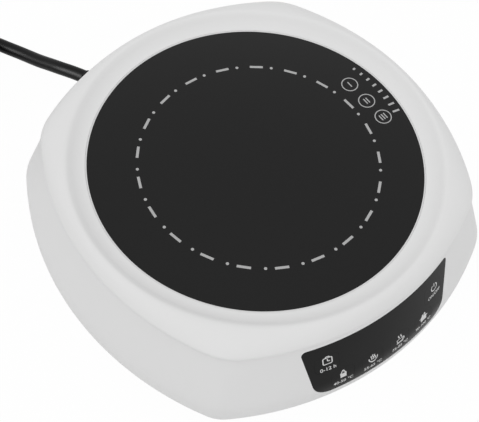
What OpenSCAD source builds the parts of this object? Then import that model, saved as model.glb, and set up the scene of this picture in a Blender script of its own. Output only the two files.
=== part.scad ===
// Portable hot plate: a round glass-ceramic plate in a bowed square housing, with a front key panel,
// a radiant heater, a cooling fan, two circuit boards and a mains cord.
// Millimetres, +Z up, the keys face -Y, and z = 0 is the table under the feet.

/* [Housing] */
// Width of the housing low on its wall
base_w = 208.2; // [204:0.2:216]
// Radius of the bowed sides low on the wall
base_bow_r = 153; // [140:1:190]
// Corner radius low on the wall
base_corner_r = 18; // [12:1:26]
// Width of the housing across the collar
collar_w = 191.2; // [189:0.2:196]
// Radius of the bowed sides of the collar
collar_bow_r = 135.7; // [128:0.1:150]
// Corner radius of the collar
collar_corner_r = 30; // [22:1:40]
// Height of the wall from its lower edge to the parting line
wall_h = 42.5; // [41:0.5:50]
// Height of the upright band at the foot of the wall
band_h = 10; // [7:0.5:14]
// Thickness of the moulded walls
wall_t = 2.8; // [2.4:0.1:3.2]
// Step in of the wall under the collar
crease_d = 1.2; // [0.6:0.1:1.6]
// Radius of the lower edge
lower_edge_r = 2.5; // [1.5:0.1:3]
// Thickness of the bottom plate
plate_t = 2.5; // [2:0.1:3.5]
// How far the bottom plate lies above the lower edge
plate_inset = 0.5; // [0.2:0.1:1]
// Width of the ledge that the bottom plate bears on
plate_ledge = 2; // [1.5:0.1:3]
// Clearance round pieces that drop into place
drop_fit = 0.3; // [0.2:0.05:0.5]

/* [Top] */
// Height of the collar's upright edge
collar_edge_h = 1.2; // [0.8:0.1:2]
// Rise from the collar's edge to the ridge
collar_rise = 6.6; // [5.5:0.1:8]
// Diameter of the ridge round the glass
ridge_d = 179.8; // [177:0.2:184]
// Drop from the ridge to the glass
bezel_drop = 4.8; // [4:0.1:6]
// Diameter of the glass
glass_d = 160; // [156:0.5:162]
// Thickness of the glass
glass_t = 4; // [3:0.5:5]
// Thickness of the silicone seal under and round the glass
seal_t = 0.5; // [0.4:0.1:0.8]
// Width of the ledge under the glass
ledge_w = 7.5; // [6:0.5:9]
// Thickness of the ledge under the glass
ledge_t = 2.5; // [2:0.1:3]
// Depth of the locating skirt inside the wall
skirt_h = 3; // [2:0.5:4]
// Thickness of the locating skirt
skirt_t = 1.6; // [1.2:0.1:2]

/* [Panel and keys] */
// Width of the key panel across its upper corners
panel_w = 86; // [85:0.2:100]
// Width of the key panel across its lower corners
panel_low_w = 79.8; // [79:0.2:84]
// Thickness of the key panel
panel_t = 1.4; // [1.2:0.1:1.6]
// Distance of the panel's top edge below the parting line
panel_top_gap = 3.8; // [3:0.1:4.4]
// Distance of the panel's lower edge above the wall's lower edge
panel_low_gap = 6.1; // [5.5:0.1:7]
// Radius of the panel's lower corners
panel_low_r = 10.4; // [8:0.2:11]
// Radius of the panel's upper corners
panel_top_r = 2.4; // [1:0.2:5]
// Width of the land that the panel is bonded to
panel_land = 1.5; // [1.2:0.1:1.8]
// Width of a key
key_w = 12; // [10:0.1:12.6]
// Height of a key
key_h = 10.4; // [9:0.1:10.6]
// Corner radius of a key
key_r = 2.5; // [1:0.1:4]
// Gap round a key
key_gap = 0.25; // [0.2:0.05:0.4]
// Inward travel of a key
key_travel = 0.5; // [0.3:0.1:0.7]
// Spacing of the four heat keys
key_pitch = 16.4; // [14.2:0.1:17]
// Distance of the timer and power keys from the middle
outer_key_x = 31.8; // [20:0.1:32]
// Height of the heat keys above the wall's lower edge
low_key_z = 14; // [13.8:0.1:16.6]
// Height of the timer and power keys above the heat keys
row_pitch = 12.8; // [12.5:0.1:14]

/* [Heater] */
// Diameter of the heater dish
heater_d = 124; // [100:1:130]
// Depth of the heater from the glass to the dish's underside
heater_depth = 20; // [18:0.5:22]
// Sheet thickness of the dish
dish_t = 0.8; // [0.6:0.1:1.2]
// Thickness of the insulation under the heating track
insulation_h = 9; // [7:0.5:10]
// Width of the insulation ring
insulation_w = 9; // [6:0.5:12]
// Number of rings in the heating track
track_rings = 7; // [4:1:8]
// Diameter of the limiter rod
limiter_d = 5; // [4:0.5:5.5]
// Width of the steel strap under the dish
strap_w = 18; // [14:1:24]
// Thickness of the steel strap
strap_t = 1.2; // [1:0.1:2]
// Thickness of the heat shield
shield_t = 0.8; // [0.5:0.1:1.2]
// Distance of the strap's posts outside the dish
post_gap = 8; // [7:0.5:9]

/* [Fan] */
// Width of the square fan frame
fan_w = 60; // [50:1:64]
// Height of the fan
fan_h = 12; // [11:0.5:14]
// Diameter of the fan's hub
hub_d = 26; // [24:0.5:30]
// Diameter of the fan's shaft
shaft_d = 3; // [2.5:0.1:4]
// Number of fan blades
blades = 7; // [5:1:9]
// Radial clearance of the fan's shaft
shaft_fit = 0.05; // [0.03:0.01:0.08]

/* [Boards] */
// Thickness of the circuit boards
board_t = 1.6; // [1.2:0.1:2]
// Length of the power board
power_l = 48; // [46:1:56]
// Depth of the power board
power_d = 26; // [25:0.5:29]
// Height of the stand-offs under the power board
standoff_h = 4; // [3:0.5:6]
// Width of the control board
control_w = 88; // [84:1:90]

/* [Cord] */
// Diameter of the mains cord
cord_d = 7.2; // [6.5:0.1:7.3]
// Length of the tapered strain relief outside the wall
gland_out = 12; // [10:0.5:16]
// Length of the strain relief inside the wall
gland_in = 10; // [9:0.5:12]
// Turns of the coil
coil_turns = 5.25; // [4.25:1:7.25]
// Distance from the coil's centre to its outer turn
coil_r = 45; // [43:0.5:52]
// Free space between neighbouring turns
coil_gap = 0.5; // [0.45:0.05:0.8]
// Thickness of the tie round the coil
tie_t = 0.6; // [0.5:0.1:0.8]

/* [Feet and screws] */
// Height of the feet under the wall's lower edge
foot_h = 4; // [3:0.5:8]
// Diameter of the feet
foot_d = 14; // [10:1:16]
// Diameter of the screw shanks
screw_d = 3; // [2.5:0.1:3.2]
// Diameter of the screw heads
screw_head_d = 5.6; // [5:0.1:6]
// Height of the screw heads
screw_head_h = 1.8; // [1.5:0.1:2]
// Clearance of a screw in its hole
screw_fit = 0.1; // [0.05:0.05:0.2]
// Diameter of the screw posts
post_d = 9; // [8:0.5:10]

/* [Hidden] */
$fn = 64;
// Small overlap that fuses two shapes of one piece
eps = 0.2;

// Heights, from the table up
z_low = foot_h;
z_plate = z_low + plate_inset;
z_floor = z_plate + plate_t;
z_band = z_low + band_h;
z_part = z_low + wall_h;
z_collar = z_part + collar_edge_h;
z_ridge = z_collar + collar_rise;
z_glass_top = z_ridge - bezel_drop;
z_glass = z_glass_top - glass_t;
z_seat = z_glass - seal_t;
z_ledge = z_seat - ledge_t;
z_dish = z_glass - heater_depth;
z_strap = z_dish - strap_t;
z_shield = z_strap - shield_t;
z_track = z_dish + dish_t + insulation_h;

// Radii round the glass
seat_fit = 0.2;
glass_r = glass_d / 2;
seat_r = glass_r + seal_t + seat_fit;
ledge_r = glass_r - ledge_w;
ridge_r = ridge_d / 2;
heater_r = heater_d / 2;
post_x = heater_r + post_gap;

// The bowed square outline: each side is an arc round a point on that side's own axis, and each corner
// is an arc that meets two sides at a tangent. The radius is measured from the centre at a polar angle.
function bow_centre(w, bow) = w / 2 - bow;
function corner_at(w, bow, cr) =
    let (c = bow_centre(w, bow)) (c + sqrt(2 * pow(bow - cr, 2) - c * c)) / 2;
function tangent_angle(w, bow, cr) =
    let (c = bow_centre(w, bow), k = corner_at(w, bow, cr), t = atan2(k, k - c))
    atan2(bow * sin(t), c + bow * cos(t));
function off_axis(a) = a - 90 * round(a / 90);
function side_radius(w, bow, p) =
    let (c = bow_centre(w, bow)) c * cos(p) + sqrt(bow * bow - pow(c * sin(p), 2));
function corner_radius(w, bow, cr, p) =
    let (m = corner_at(w, bow, cr) * sqrt(2), q = 45 - abs(p))
    m * cos(q) + sqrt(cr * cr - pow(m * sin(q), 2));
function outline_r(w, bow, cr, a) =
    let (p = off_axis(a))
    abs(p) <= tangent_angle(w, bow, cr) ? side_radius(w, bow, p) : corner_radius(w, bow, cr, p);
function base_r(a) = outline_r(base_w, base_bow_r, base_corner_r, a);
function collar_r(a) = outline_r(collar_w, collar_bow_r, collar_corner_r, a);

// The wall runs straight out from the crease under the collar, and bends softly into the upright band
function smooth(u) = u * u * (3 - 2 * u);
bend = 0.15;
z_bend = z_band - bend * (z_part - z_band);
function flare(z) =
    let (u = (z_part - z) / (z_part - z_band))
    u < 1 - bend ? max(0, u) : u > 1 + bend ? 1 : u - pow(u - 1 + bend, 2) / (4 * bend);
function edge_round(z) =
    let (h = max(0, z_low + lower_edge_r - z)) lower_edge_r - sqrt(pow(lower_edge_r, 2) - h * h);
function wall_r(a, z) =
    let (f = flare(z)) (1 - f) * (collar_r(a) - crease_d) + f * base_r(a) - edge_round(z);

// Distance of the outer wall from the middle plane, at x along a side and height z
function wall_y(x, z, y = base_w / 2, n = 6) =
    n == 0 ? y : wall_y(x, z, sqrt(pow(wall_r(atan2(x, y), z), 2) - x * x), n - 1);

// Polar angles of the rings: wide steps along the sides and narrow ones round the corners
side_steps = 14;
corner_steps = 6;
side_span = min(tangent_angle(base_w, base_bow_r, base_corner_r),
    tangent_angle(collar_w, collar_bow_r, collar_corner_r));
side_angles = [for (i = [0 : side_steps]) side_span * (2 * i / side_steps - 1)];
corner_angles = [for (i = [1 : corner_steps - 1]) side_span + (90 - 2 * side_span) * i / corner_steps];
angles = [for (q = [0 : 3], a = concat(side_angles, corner_angles)) 90 * q + a];

// Heights of the rings of the wall
wall_steps = 9;
edge_steps = 3;
edge_levels = [for (i = [0 : edge_steps]) z_low + lower_edge_r * (1 - cos(90 * i / edge_steps))];
wall_levels = [for (i = [0 : wall_steps]) z_bend + (z_part - z_bend) * i / wall_steps];
outer_levels = concat(edge_levels, wall_levels);

function at_angle(a, p) = [p[0] * cos(a), p[0] * sin(a), p[1]];
function outline_points(inset, z) =
    [for (a = angles) let (r = wall_r(a, z) - inset) [r * cos(a), r * sin(a)]];

// A closed ring, swept round the centre from one radius and height section per angle
module ring_solid(sections) {
    n = len(sections);
    m = len(sections[0]);
    points = [for (i = [0 : n - 1], p = sections[i]) at_angle(angles[i], p)];
    faces = [
        for (i = [0 : n - 1], j = [0 : m - 1])
            let (i2 = (i + 1) % n, j2 = (j + 1) % m)
            each [[i * m + j, i * m + j2, i2 * m + j2], [i * m + j, i2 * m + j2, i2 * m + j]]
    ];
    polyhedron(points, faces);
}

// A slab of the front wall behind the panel, between two depths under its outer face
panel_span = atan2(panel_w / 2, collar_w / 2 - crease_d) + 2 * side_span / side_steps;
module front_slab(depth_out, depth_in) {
    cols = [for (a = side_angles) if (abs(a) < panel_span) 270 + a];
    rows = [for (z = outer_levels) if (z > z_low) z];
    nc = len(cols);
    nr = len(rows);
    layer = nc * nr;
    points = [
        for (d = [depth_out, depth_in], a = cols, z = rows) at_angle(a, [wall_r(a, z) - d, z])
    ];
    grid = [
        for (i = [0 : nc - 2], j = [0 : nr - 2])
            let (a = i * nr + j, b = a + nr) [a, a + 1, b + 1, b]
    ];
    rim = concat(
        [for (i = [0 : nc - 2]) [i * nr, (i + 1) * nr]],
        [for (j = [0 : nr - 2]) [(nc - 1) * nr + j, (nc - 1) * nr + j + 1]],
        [for (i = [nc - 1 : -1 : 1]) [i * nr + nr - 1, (i - 1) * nr + nr - 1]],
        [for (j = [nr - 1 : -1 : 1]) [j, j - 1]]
    );
    faces = concat(
        [for (q = grid) each [[q[0], q[1], q[2]], [q[0], q[2], q[3]]]],
        [for (g = grid) let (q = [for (i = g) i + layer]) each [[q[0], q[2], q[1]], [q[0], q[3], q[2]]]],
        [for (e = rim) each [[e[0], e[1], layer + e[1]], [e[0], layer + e[1], layer + e[0]]]]
    );
    polyhedron(points, faces);
}

// A rectangle with round corners, centred
module round_rect(w, h, r) {
    square([w - 2 * r, h], center = true);
    square([w, h - 2 * r], center = true);
    for (x = [-1, 1], y = [-1, 1])
        translate([x * (w / 2 - r), y * (h / 2 - r)]) circle(r);
}

// A straight slot with round ends, centred
module slot(l, w) {
    square([l - w, w], center = true);
    for (s = [-1, 1]) translate([s * (l - w) / 2, 0]) circle(d = w);
}

// A flat shape drawn in x and z, pushed through the front wall along y
front_reach = base_w;
module through_front() {
    rotate([90, 0, 0]) linear_extrude(front_reach) children();
}

// A screw whose head's underside is at z = 0, with its shank pointing down
module screw(length) {
    cylinder(h = screw_head_h, d = screw_head_d);
    translate([0, 0, -length]) cylinder(h = length + eps, d = screw_d);
}

// The hole for a screw's shank, down from z = 0
module screw_hole(depth) {
    translate([0, 0, -depth]) cylinder(h = depth + eps, r = screw_d / 2 + screw_fit);
}

// Housing
// Distance of the screw pillars from the middle planes
pillar_gap = 0.5;
pillar_at = (collar_r(45) - crease_d - wall_t - drop_fit - skirt_t - pillar_gap - post_d / 2) / sqrt(2);
pillar_sunk = 4.6;
pillar_top = z_ridge - pillar_sunk;
screw_bite = 8;
bore_spare = 1;
collar_steps = 6;
bezel_steps = 6;
lip_h = 0.3;
// The bezel falls steeply from the ridge and flattens towards the glass
dish = 1.7;

module at_pillars() {
    for (x = [-1, 1], y = [-1, 1]) translate([x * pillar_at, y * pillar_at, 0]) children();
}

function collar_curve(e) = [
    for (i = [0 : collar_steps])
        let (t = i / collar_steps, across = (t + 1 - cos(90 * t)) / 2, up = (t + sin(90 * t)) / 2)
        [e + (ridge_r - e) * across, z_collar + collar_rise * up]
];
bezel_curve = [
    for (i = [1 : bezel_steps])
        let (t = i / bezel_steps)
        [ridge_r + (seat_r - ridge_r) * t, z_ridge - (bezel_drop - lip_h) * (1 - pow(1 - t, dish))]
];
function cover_section(a) =
    let (e = collar_r(a), skirt = e - crease_d - wall_t - drop_fit)
    concat(
        [[e, z_part]],
        collar_curve(e),
        bezel_curve,
        [
            [seat_r, z_seat],
            [ledge_r, z_seat],
            [ledge_r, z_ledge],
            [seat_r + wall_t, z_ledge],
            [seat_r + wall_t, z_glass_top - wall_t / 2],
            [ridge_r - wall_t, z_ridge - 1.6 * wall_t],
            [skirt - skirt_t, z_part + skirt_t],
            [skirt - skirt_t, z_part - skirt_h],
            [skirt, z_part - skirt_h],
            [skirt, z_part]
        ]
    );

module upper_cover() {
    color("whitesmoke")
        difference() {
            union() {
                ring_solid([for (a = angles) cover_section(a)]);
                at_pillars()
                    translate([0, 0, z_floor])
                        cylinder(h = pillar_top - z_floor, d = post_d);
            }
            at_pillars()
                translate([0, 0, z_floor - eps])
                    cylinder(h = screw_bite + bore_spare + eps, r = screw_d / 2 + screw_fit);
        }
}

ledge_slope = 1;
ledge_rise = 1.5;
function body_section(a) = concat(
    [for (z = outer_levels) [wall_r(a, z), z]],
    [for (i = [wall_steps : -3 : 0]) let (z = wall_levels[i]) [wall_r(a, z) - wall_t, z]],
    [
        let (z = z_floor + ledge_rise + ledge_slope) [wall_r(a, z) - wall_t, z],
        let (z = z_floor + ledge_rise) [wall_r(a, z) - wall_t - plate_ledge, z],
        [wall_r(a, z_floor) - wall_t - plate_ledge, z_floor],
        [wall_r(a, z_floor) - wall_t, z_floor],
        [wall_r(a, z_floor) - wall_t, z_low]
    ]
);

module body_shell() {
    color("whitesmoke")
        difference() {
            ring_solid([for (a = angles) body_section(a)]);
            intersection() {
                front_slab(-wall_t, panel_t + panel_bond);
                through_front() panel_outline(-drop_fit / 2);
            }
            through_front() panel_outline(panel_land);
            at_exit() {
                rotate([-90, 0, 0])
                    translate([0, 0, -gland_in])
                        cylinder(h = gland_in + gland_out, r = gland_r + screw_fit);
                rotate([90, 0, 0])
                    translate([0, 0, flange_at - drop_fit])
                        cylinder(h = gland_in, r = flange_r + drop_fit);
            }
        }
}

// Bottom plate, with the fan's intake under the fan and outlet slots at both sides
intake_rings = 4;
intake_w = 3;
intake_pitch = 6;
intake_bar = 4;
outlet_l = 15;
outlet_w = 3;
outlet_count = 3;
outlet_pitch = 7;
outlet_edge = 9.5;
outlet_x = base_w / 2 - wall_t - drop_fit - outlet_edge - outlet_l / 2;
outlet_y = (post_d + outlet_pitch) / 2;
foot_turn = 33.7;
foot_edge = 4;
foot_r = base_r(foot_turn) - wall_t - plate_ledge - foot_edge - foot_d / 2;
foot_x = foot_r * cos(foot_turn);
foot_y = foot_r * sin(foot_turn);
peg_d = 6;
standoff_wall = 2;
standoff_d = screw_d + 2 * standoff_wall;
guide_w = 8;
guide_h = 14;
guide_wall = 2.4;

module at_feet() {
    for (x = [-1, 1], y = [-1, 1]) translate([x * foot_x, y * foot_y, 0]) children();
}

module intake_grille() {
    difference() {
        for (i = [1 : intake_rings])
            difference() {
                circle(i * intake_pitch + intake_w / 2);
                circle(i * intake_pitch - intake_w / 2);
            }
        for (a = [45, 135])
            rotate(a) square([2 * intake_pitch * (intake_rings + 1), intake_bar], center = true);
    }
}

module plate_flat() {
    difference() {
        polygon(outline_points(wall_t + drop_fit, z_floor));
        intake_grille();
        for (x = [-1, 1], y = [-1, 1], i = [0 : outlet_count - 1])
            translate([x * outlet_x, y * (outlet_y + i * outlet_pitch)]) slot(outlet_l, outlet_w);
        at_feet() circle(d = peg_d);
        at_pillars() circle(screw_d / 2 + screw_fit);
        at_fan_screws() circle(screw_d / 2 + screw_fit);
        at_clamp_screws() circle(screw_d / 2 + screw_fit);
    }
}

module bottom_plate() {
    color("gainsboro") {
        difference() {
            union() {
                translate([0, 0, z_plate]) linear_extrude(plate_t) plate_flat();
                at_standoffs()
                    translate([0, 0, z_floor - eps]) cylinder(h = standoff_h + eps, d = standoff_d);
                for (s = [-1, 1])
                    translate([s * post_x, 0, z_floor - eps])
                        cylinder(h = z_shield - z_floor + eps, d = post_d);
                for (s = [-1, 1])
                    translate([s * guide_x - guide_w / 2, control_y - guide_wall, z_floor - eps])
                        cube([guide_w, board_t + 2 * guide_wall, guide_h + eps]);
            }
            at_standoffs() translate([0, 0, z_floor + standoff_h]) screw_hole(standoff_h);
            for (s = [-1, 1]) translate([s * post_x, 0, z_shield]) screw_hole(screw_bite + bore_spare);
            translate([-control_w / 2 - drop_fit, control_y - drop_fit / 2, z_control])
                cube([control_w + 2 * drop_fit, board_t + drop_fit, guide_h]);
        }
    }
}

module feet() {
    color("dimgray")
        at_feet() {
            cylinder(h = z_plate, d = foot_d);
            cylinder(h = z_floor, d = peg_d - 2 * screw_fit);
        }
}

module housing_screws() {
    color("silver")
        at_pillars() translate([0, 0, z_plate]) mirror([0, 0, 1]) screw(plate_t + screw_bite);
}

// Glass
module glass_plate() {
    chamfer = 0.4;
    color("#262626")
        rotate_extrude()
            polygon([
                [0, z_glass], [glass_r, z_glass], [glass_r, z_glass_top - chamfer],
                [glass_r - chamfer, z_glass_top], [0, z_glass_top]
            ]);
}

module glass_seal() {
    seal_in = 0.5;
    seal_sunk = 0.5;
    z_seal_top = z_glass_top - seal_sunk;
    color("white")
        rotate_extrude()
            polygon([
                [ledge_r + seal_in, z_seat], [glass_r + seal_t, z_seat], [glass_r + seal_t, z_seal_top],
                [glass_r, z_seal_top], [glass_r, z_glass], [ledge_r + seal_in, z_glass]
            ]);
}

// Heater
rim_gap = 2;
dish_fit = 0.2;
pack_r = heater_r - dish_t - dish_fit;
track_h = 4;
track_w = 1.2;
track_cut = 14;
track_gap = 3;
limiter_z = (z_track + track_h + z_glass) / 2;
limiter_gap = 0.5;
limiter_short = 18.6;
limiter_head_l = 9;
limiter_head_w = 16;
limiter_head_h = 9;

module limiter_bore() {
    translate([0, 0, limiter_z])
        rotate([0, 90, 0]) cylinder(h = heater_r + eps, r = limiter_d / 2 + dish_fit);
}

module heater_dish() {
    z_rim = z_glass - rim_gap;
    color("lightsteelblue")
        difference() {
            rotate_extrude()
                polygon([
                    [0, z_dish], [heater_r, z_dish], [heater_r, z_rim],
                    [heater_r - dish_t, z_rim], [heater_r - dish_t, z_dish + dish_t], [0, z_dish + dish_t]
                ]);
            limiter_bore();
        }
}

module insulation_base() {
    color("beige")
        translate([0, 0, z_dish + dish_t]) cylinder(h = insulation_h, r = pack_r);
}

module insulation_ring() {
    ring_h = z_glass - z_track;
    color("ivory")
        difference() {
            translate([0, 0, z_track]) cylinder(h = ring_h, r = pack_r);
            translate([0, 0, z_track - eps]) cylinder(h = ring_h + 2 * eps, r = pack_r - insulation_w);
            limiter_bore();
        }
}

// Rings of one track, opened at one side and joined in turn at each side of the opening
module heating_track() {
    reach = pack_r - insulation_w - track_gap;
    pitch = reach / (track_rings + 1);
    link_y = track_cut / 2 + track_w;
    color("dimgray")
        translate([0, 0, z_track])
            linear_extrude(track_h) {
                difference() {
                    for (i = [2 : track_rings + 1])
                        difference() {
                            circle(i * pitch);
                            circle(i * pitch - track_w);
                        }
                    translate([-reach - pitch, -track_cut / 2]) square([reach, track_cut]);
                }
                for (i = [2 : track_rings])
                    translate([-(i + 1) * pitch + track_w / 2, (i % 2 == 0 ? 1 : -1) * link_y - track_w / 2])
                        square([pitch, track_w]);
            }
}

module limiter_rod() {
    inner = heater_r - limiter_short;
    color("lightgray")
        translate([-inner, 0, limiter_z])
            rotate([0, 90, 0]) cylinder(h = inner + heater_r + limiter_gap, d = limiter_d);
}

module limiter_head() {
    color("tan")
        translate([heater_r + limiter_gap, -limiter_head_w / 2, limiter_z - limiter_head_h + limiter_d / 2])
            cube([limiter_head_l, limiter_head_w, limiter_head_h]);
}

terminal_w = 18;
terminal_d = 8;
terminal_h = 10;
terminal_lift = 2;
terminal_z = z_dish + terminal_lift;

module heater_terminal() {
    color("cornsilk")
        difference() {
            translate([block_at[0] - terminal_w / 2, 0, terminal_z])
                cube([terminal_w, heater_r + terminal_d, terminal_h]);
            translate([0, 0, terminal_z - eps])
                cylinder(h = terminal_h + 2 * eps, r = heater_r + screw_fit);
        }
}

strap_end = 6;
shield_lip = 1;

module heater_strap() {
    l = 2 * (post_x + strap_end);
    color("silver")
        difference() {
            translate([-l / 2, -strap_w / 2, z_strap]) cube([l, strap_w, strap_t]);
            for (s = [-1, 1]) translate([s * post_x, 0, z_dish]) screw_hole(strap_t + eps);
        }
}

module heat_shield() {
    l = 2 * (post_x + strap_end);
    color("gainsboro")
        difference() {
            translate([0, 0, z_shield])
                linear_extrude(shield_t) {
                    circle(heater_r + shield_lip);
                    square([l, strap_w], center = true);
                }
            for (s = [-1, 1]) translate([s * post_x, 0, z_strap]) screw_hole(shield_t + eps);
        }
}

module strap_screws() {
    color("silver")
        for (s = [-1, 1])
            translate([s * post_x, 0, z_dish]) screw(strap_t + shield_t + screw_bite);
}

// Fan
fan_wall = 1.5;
fan_arm_h = 1.6;
fan_arm_w = 4;
fan_corner_r = 4;
fan_screw_in = 4.5;
fan_screw_at = fan_w / 2 - fan_screw_in;
bearing_d = 7;
bearing_h = 7;
hub_wall = 1.5;
hub_gap = 0.8;
hub_sunk = 0.5;
shaft_gap = 0.3;
blade_t = 1.2;
blade_tip = 1;
blade_edge = 0.3;
blade_tilt = 35;
blade_root = 0.5;
stator_gap = 1;
stator_d = hub_d - 2 * (hub_wall + stator_gap);
stator_h = bearing_h - hub_wall;

module at_fan_screws() {
    for (x = [-1, 1], y = [-1, 1]) translate([x * fan_screw_at, y * fan_screw_at, 0]) children();
}

module fan_frame() {
    bore_r = fan_w / 2 - fan_wall;
    color("#303030")
        translate([0, 0, z_floor])
            difference() {
                union() {
                    linear_extrude(fan_h)
                        difference() {
                            round_rect(fan_w, fan_w, fan_corner_r);
                            circle(bore_r);
                            at_fan_screws() circle(screw_d / 2 + screw_fit);
                        }
                    cylinder(h = fan_arm_h, d = hub_d);
                    for (a = [0 : 120 : 240])
                        rotate(a) translate([0, -fan_arm_w / 2, 0]) cube([bore_r + eps, fan_arm_w, fan_arm_h]);
                    cylinder(h = fan_arm_h + bearing_h, d = bearing_d);
                }
                translate([0, 0, fan_arm_h]) cylinder(h = bearing_h + eps, r = shaft_d / 2 + shaft_fit);
            }
}

module fan_stator() {
    color("darkgoldenrod")
        translate([0, 0, z_floor + fan_arm_h])
            difference() {
                cylinder(h = stator_h, d = stator_d);
                translate([0, 0, -eps]) cylinder(h = bearing_h, r = bearing_d / 2 + screw_fit);
            }
}

module fan_rotor() {
    hub_low = fan_arm_h + hub_gap;
    hub_top = fan_h - hub_sunk;
    tip_r = fan_w / 2 - fan_wall - blade_tip;
    root_r = hub_d / 2 - blade_root;
    blade_h = hub_top - hub_low - 2 * blade_edge;
    color("#383838")
        translate([0, 0, z_floor]) {
            difference() {
                translate([0, 0, hub_low]) cylinder(h = hub_top - hub_low, d = hub_d);
                translate([0, 0, hub_low - eps])
                    cylinder(h = hub_top - hub_low - hub_wall + eps, d = hub_d - 2 * hub_wall);
            }
            translate([0, 0, fan_arm_h + shaft_gap])
                cylinder(h = hub_top - hub_wall / 2 - fan_arm_h - shaft_gap, d = shaft_d);
            intersection() {
                for (i = [0 : blades - 1])
                    rotate(i * 360 / blades)
                        translate([0, 0, (hub_low + hub_top) / 2])
                            rotate([blade_tilt, 0, 0])
                                translate([root_r - blade_root, -fan_w / 2, -blade_t / 2])
                                    cube([fan_w / 2, fan_w, blade_t]);
                translate([0, 0, hub_low + blade_edge])
                    difference() {
                        cylinder(h = blade_h, r = tip_r);
                        translate([0, 0, -eps]) cylinder(h = blade_h + 2 * eps, r = root_r);
                    }
            }
        }
}

module fan_screws() {
    color("silver")
        at_fan_screws() translate([0, 0, z_floor + fan_h]) screw(fan_h + plate_t - bore_spare);
}

// Power board, at the back on the right, clear of the ledge in the back wall
power_gap = 1.6;
power_x = 10;
power_z = z_floor + standoff_h;
power_y = wall_y(power_x + power_l, power_z) - wall_t - plate_ledge - power_gap - power_d;
power_top = power_z + board_t;
standoff_in = 4;

module at_standoffs() {
    for (x = [standoff_in, power_l - standoff_in], y = [standoff_in, power_d - standoff_in])
        translate([power_x + x, power_y + y, 0]) children();
}

module power_board() {
    color("darkgreen")
        difference() {
            translate([power_x, power_y, power_z]) cube([power_l, power_d, board_t]);
            at_standoffs() translate([0, 0, power_top]) screw_hole(board_t + eps);
        }
}

module board_screws() {
    color("silver")
        at_standoffs() translate([0, 0, power_top]) screw(board_t + standoff_h - bore_spare);
}

// What stands on the power board: its place from the board's corner, and its size
relay_at = [8.5, 8];
relay_size = [19, 15.5, 10];
transformer_at = [29.5, 9.2];
transformer_size = [10, 14, 14];
film_at = [10, 0.8];
film_size = [16, 6.5, 10];
can_at = [35, 4.6];
can_d = 8;
can_h = 11;

module on_power_board(at) {
    translate([power_x + at[0], power_y + at[1], power_top]) children();
}

module relay() {
    color("steelblue") on_power_board(relay_at) cube(relay_size);
}

module transformer() {
    color("goldenrod") on_power_board(transformer_at) cube(transformer_size);
}

module film_capacitor() {
    color("khaki") on_power_board(film_at) cube(film_size);
}

module smoothing_capacitor() {
    color("#202850") on_power_board(can_at) cylinder(h = can_h, d = can_d);
}

// Control board, upright behind the panel, with its switches facing the keys
control_lift = 2;
control_gap = 3;
z_control = z_floor + control_lift;
control_h = z_ledge - control_gap / 2 - z_control;
control_room = min(wall_y(control_w / 2, z_part), wall_y(control_w / 2, z_floor) - plate_ledge);
control_y = wall_t + control_gap - control_room;
guide_x = control_w / 2 - guide_w;
switch_w = 6.2;
switch_h = 3.4;
plunger_d = 3.4;
plunger_fit = 0.06;
plunger_out = 1.2;
plunger_in = 1.2;
plunger_spare = 0.4;
stem_d = 4.5;
switch_y = control_y - switch_h;
plunger_y = switch_y - plunger_out;

display_w = 30;
display_h = 11;
display_d = 6;
buzzer_d = 11;
buzzer_h = 5;

// Place of each key's middle: x, and height above the table
z_low_keys = z_low + low_key_z;
z_high_keys = z_low_keys + row_pitch;
KEYS = concat(
    [[-outer_key_x, z_high_keys]],
    [for (i = [-1.5 : 1.5]) [i * key_pitch, z_low_keys]],
    [[outer_key_x, z_high_keys]]
);

module at_key(k) {
    translate([KEYS[k][0], 0, KEYS[k][1]]) children();
}

module control_board() {
    color("darkgreen")
        translate([-control_w / 2, control_y, z_control]) cube([control_w, board_t, control_h]);
}

module switch_bodies() {
    color("#2a2a2a")
        for (k = [0 : len(KEYS) - 1])
            at_key(k)
                difference() {
                    translate([-switch_w / 2, switch_y, -switch_w / 2])
                        cube([switch_w, switch_h, switch_w]);
                    translate([0, switch_y + plunger_in + key_travel + plunger_spare, 0])
                        rotate([90, 0, 0])
                            cylinder(h = switch_h, r = plunger_d / 2 + plunger_fit);
                }
}

module plunger(k) {
    color("gray")
        at_key(k)
            translate([0, plunger_y, 0])
                rotate([-90, 0, 0]) cylinder(h = plunger_out + plunger_in, d = plunger_d);
}

module led_display() {
    color("#400808")
        translate([-display_w / 2, control_y - display_d, z_high_keys - display_h / 2])
            cube([display_w, display_d, display_h]);
}

module buzzer() {
    color("#202020")
        translate([-outer_key_x / 2, control_y + board_t, z_high_keys])
            rotate([-90, 0, 0]) cylinder(h = buzzer_h, d = buzzer_d);
}

ribbon_t = 0.6;
ribbon_w = 10;
ribbon_gap = 0.2;
ribbon_lap = 6;
ribbon_clear = 2;

module control_ribbon() {
    x = guide_x + guide_w / 2 + ribbon_clear;
    y0 = control_y + board_t;
    y1 = power_y - ribbon_gap;
    color("lightgray")
        translate([x, 0, z_floor + ribbon_gap]) {
            translate([0, y0, 0]) cube([ribbon_w, y1 - y0, ribbon_t]);
            translate([0, y0, 0]) cube([ribbon_w, ribbon_t, control_lift + ribbon_lap]);
            translate([0, y1 - ribbon_t, 0]) cube([ribbon_w, ribbon_t, standoff_h + board_t]);
        }
}

// Panel and keys
panel_flush = 0.1;
panel_bond = 0.1;
key_flush = 0.15;
flange_w = 0.8;
flange_gap = 0.25;
flange_t = 0.95;
key_depth = panel_t + flange_gap + flange_t;

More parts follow.
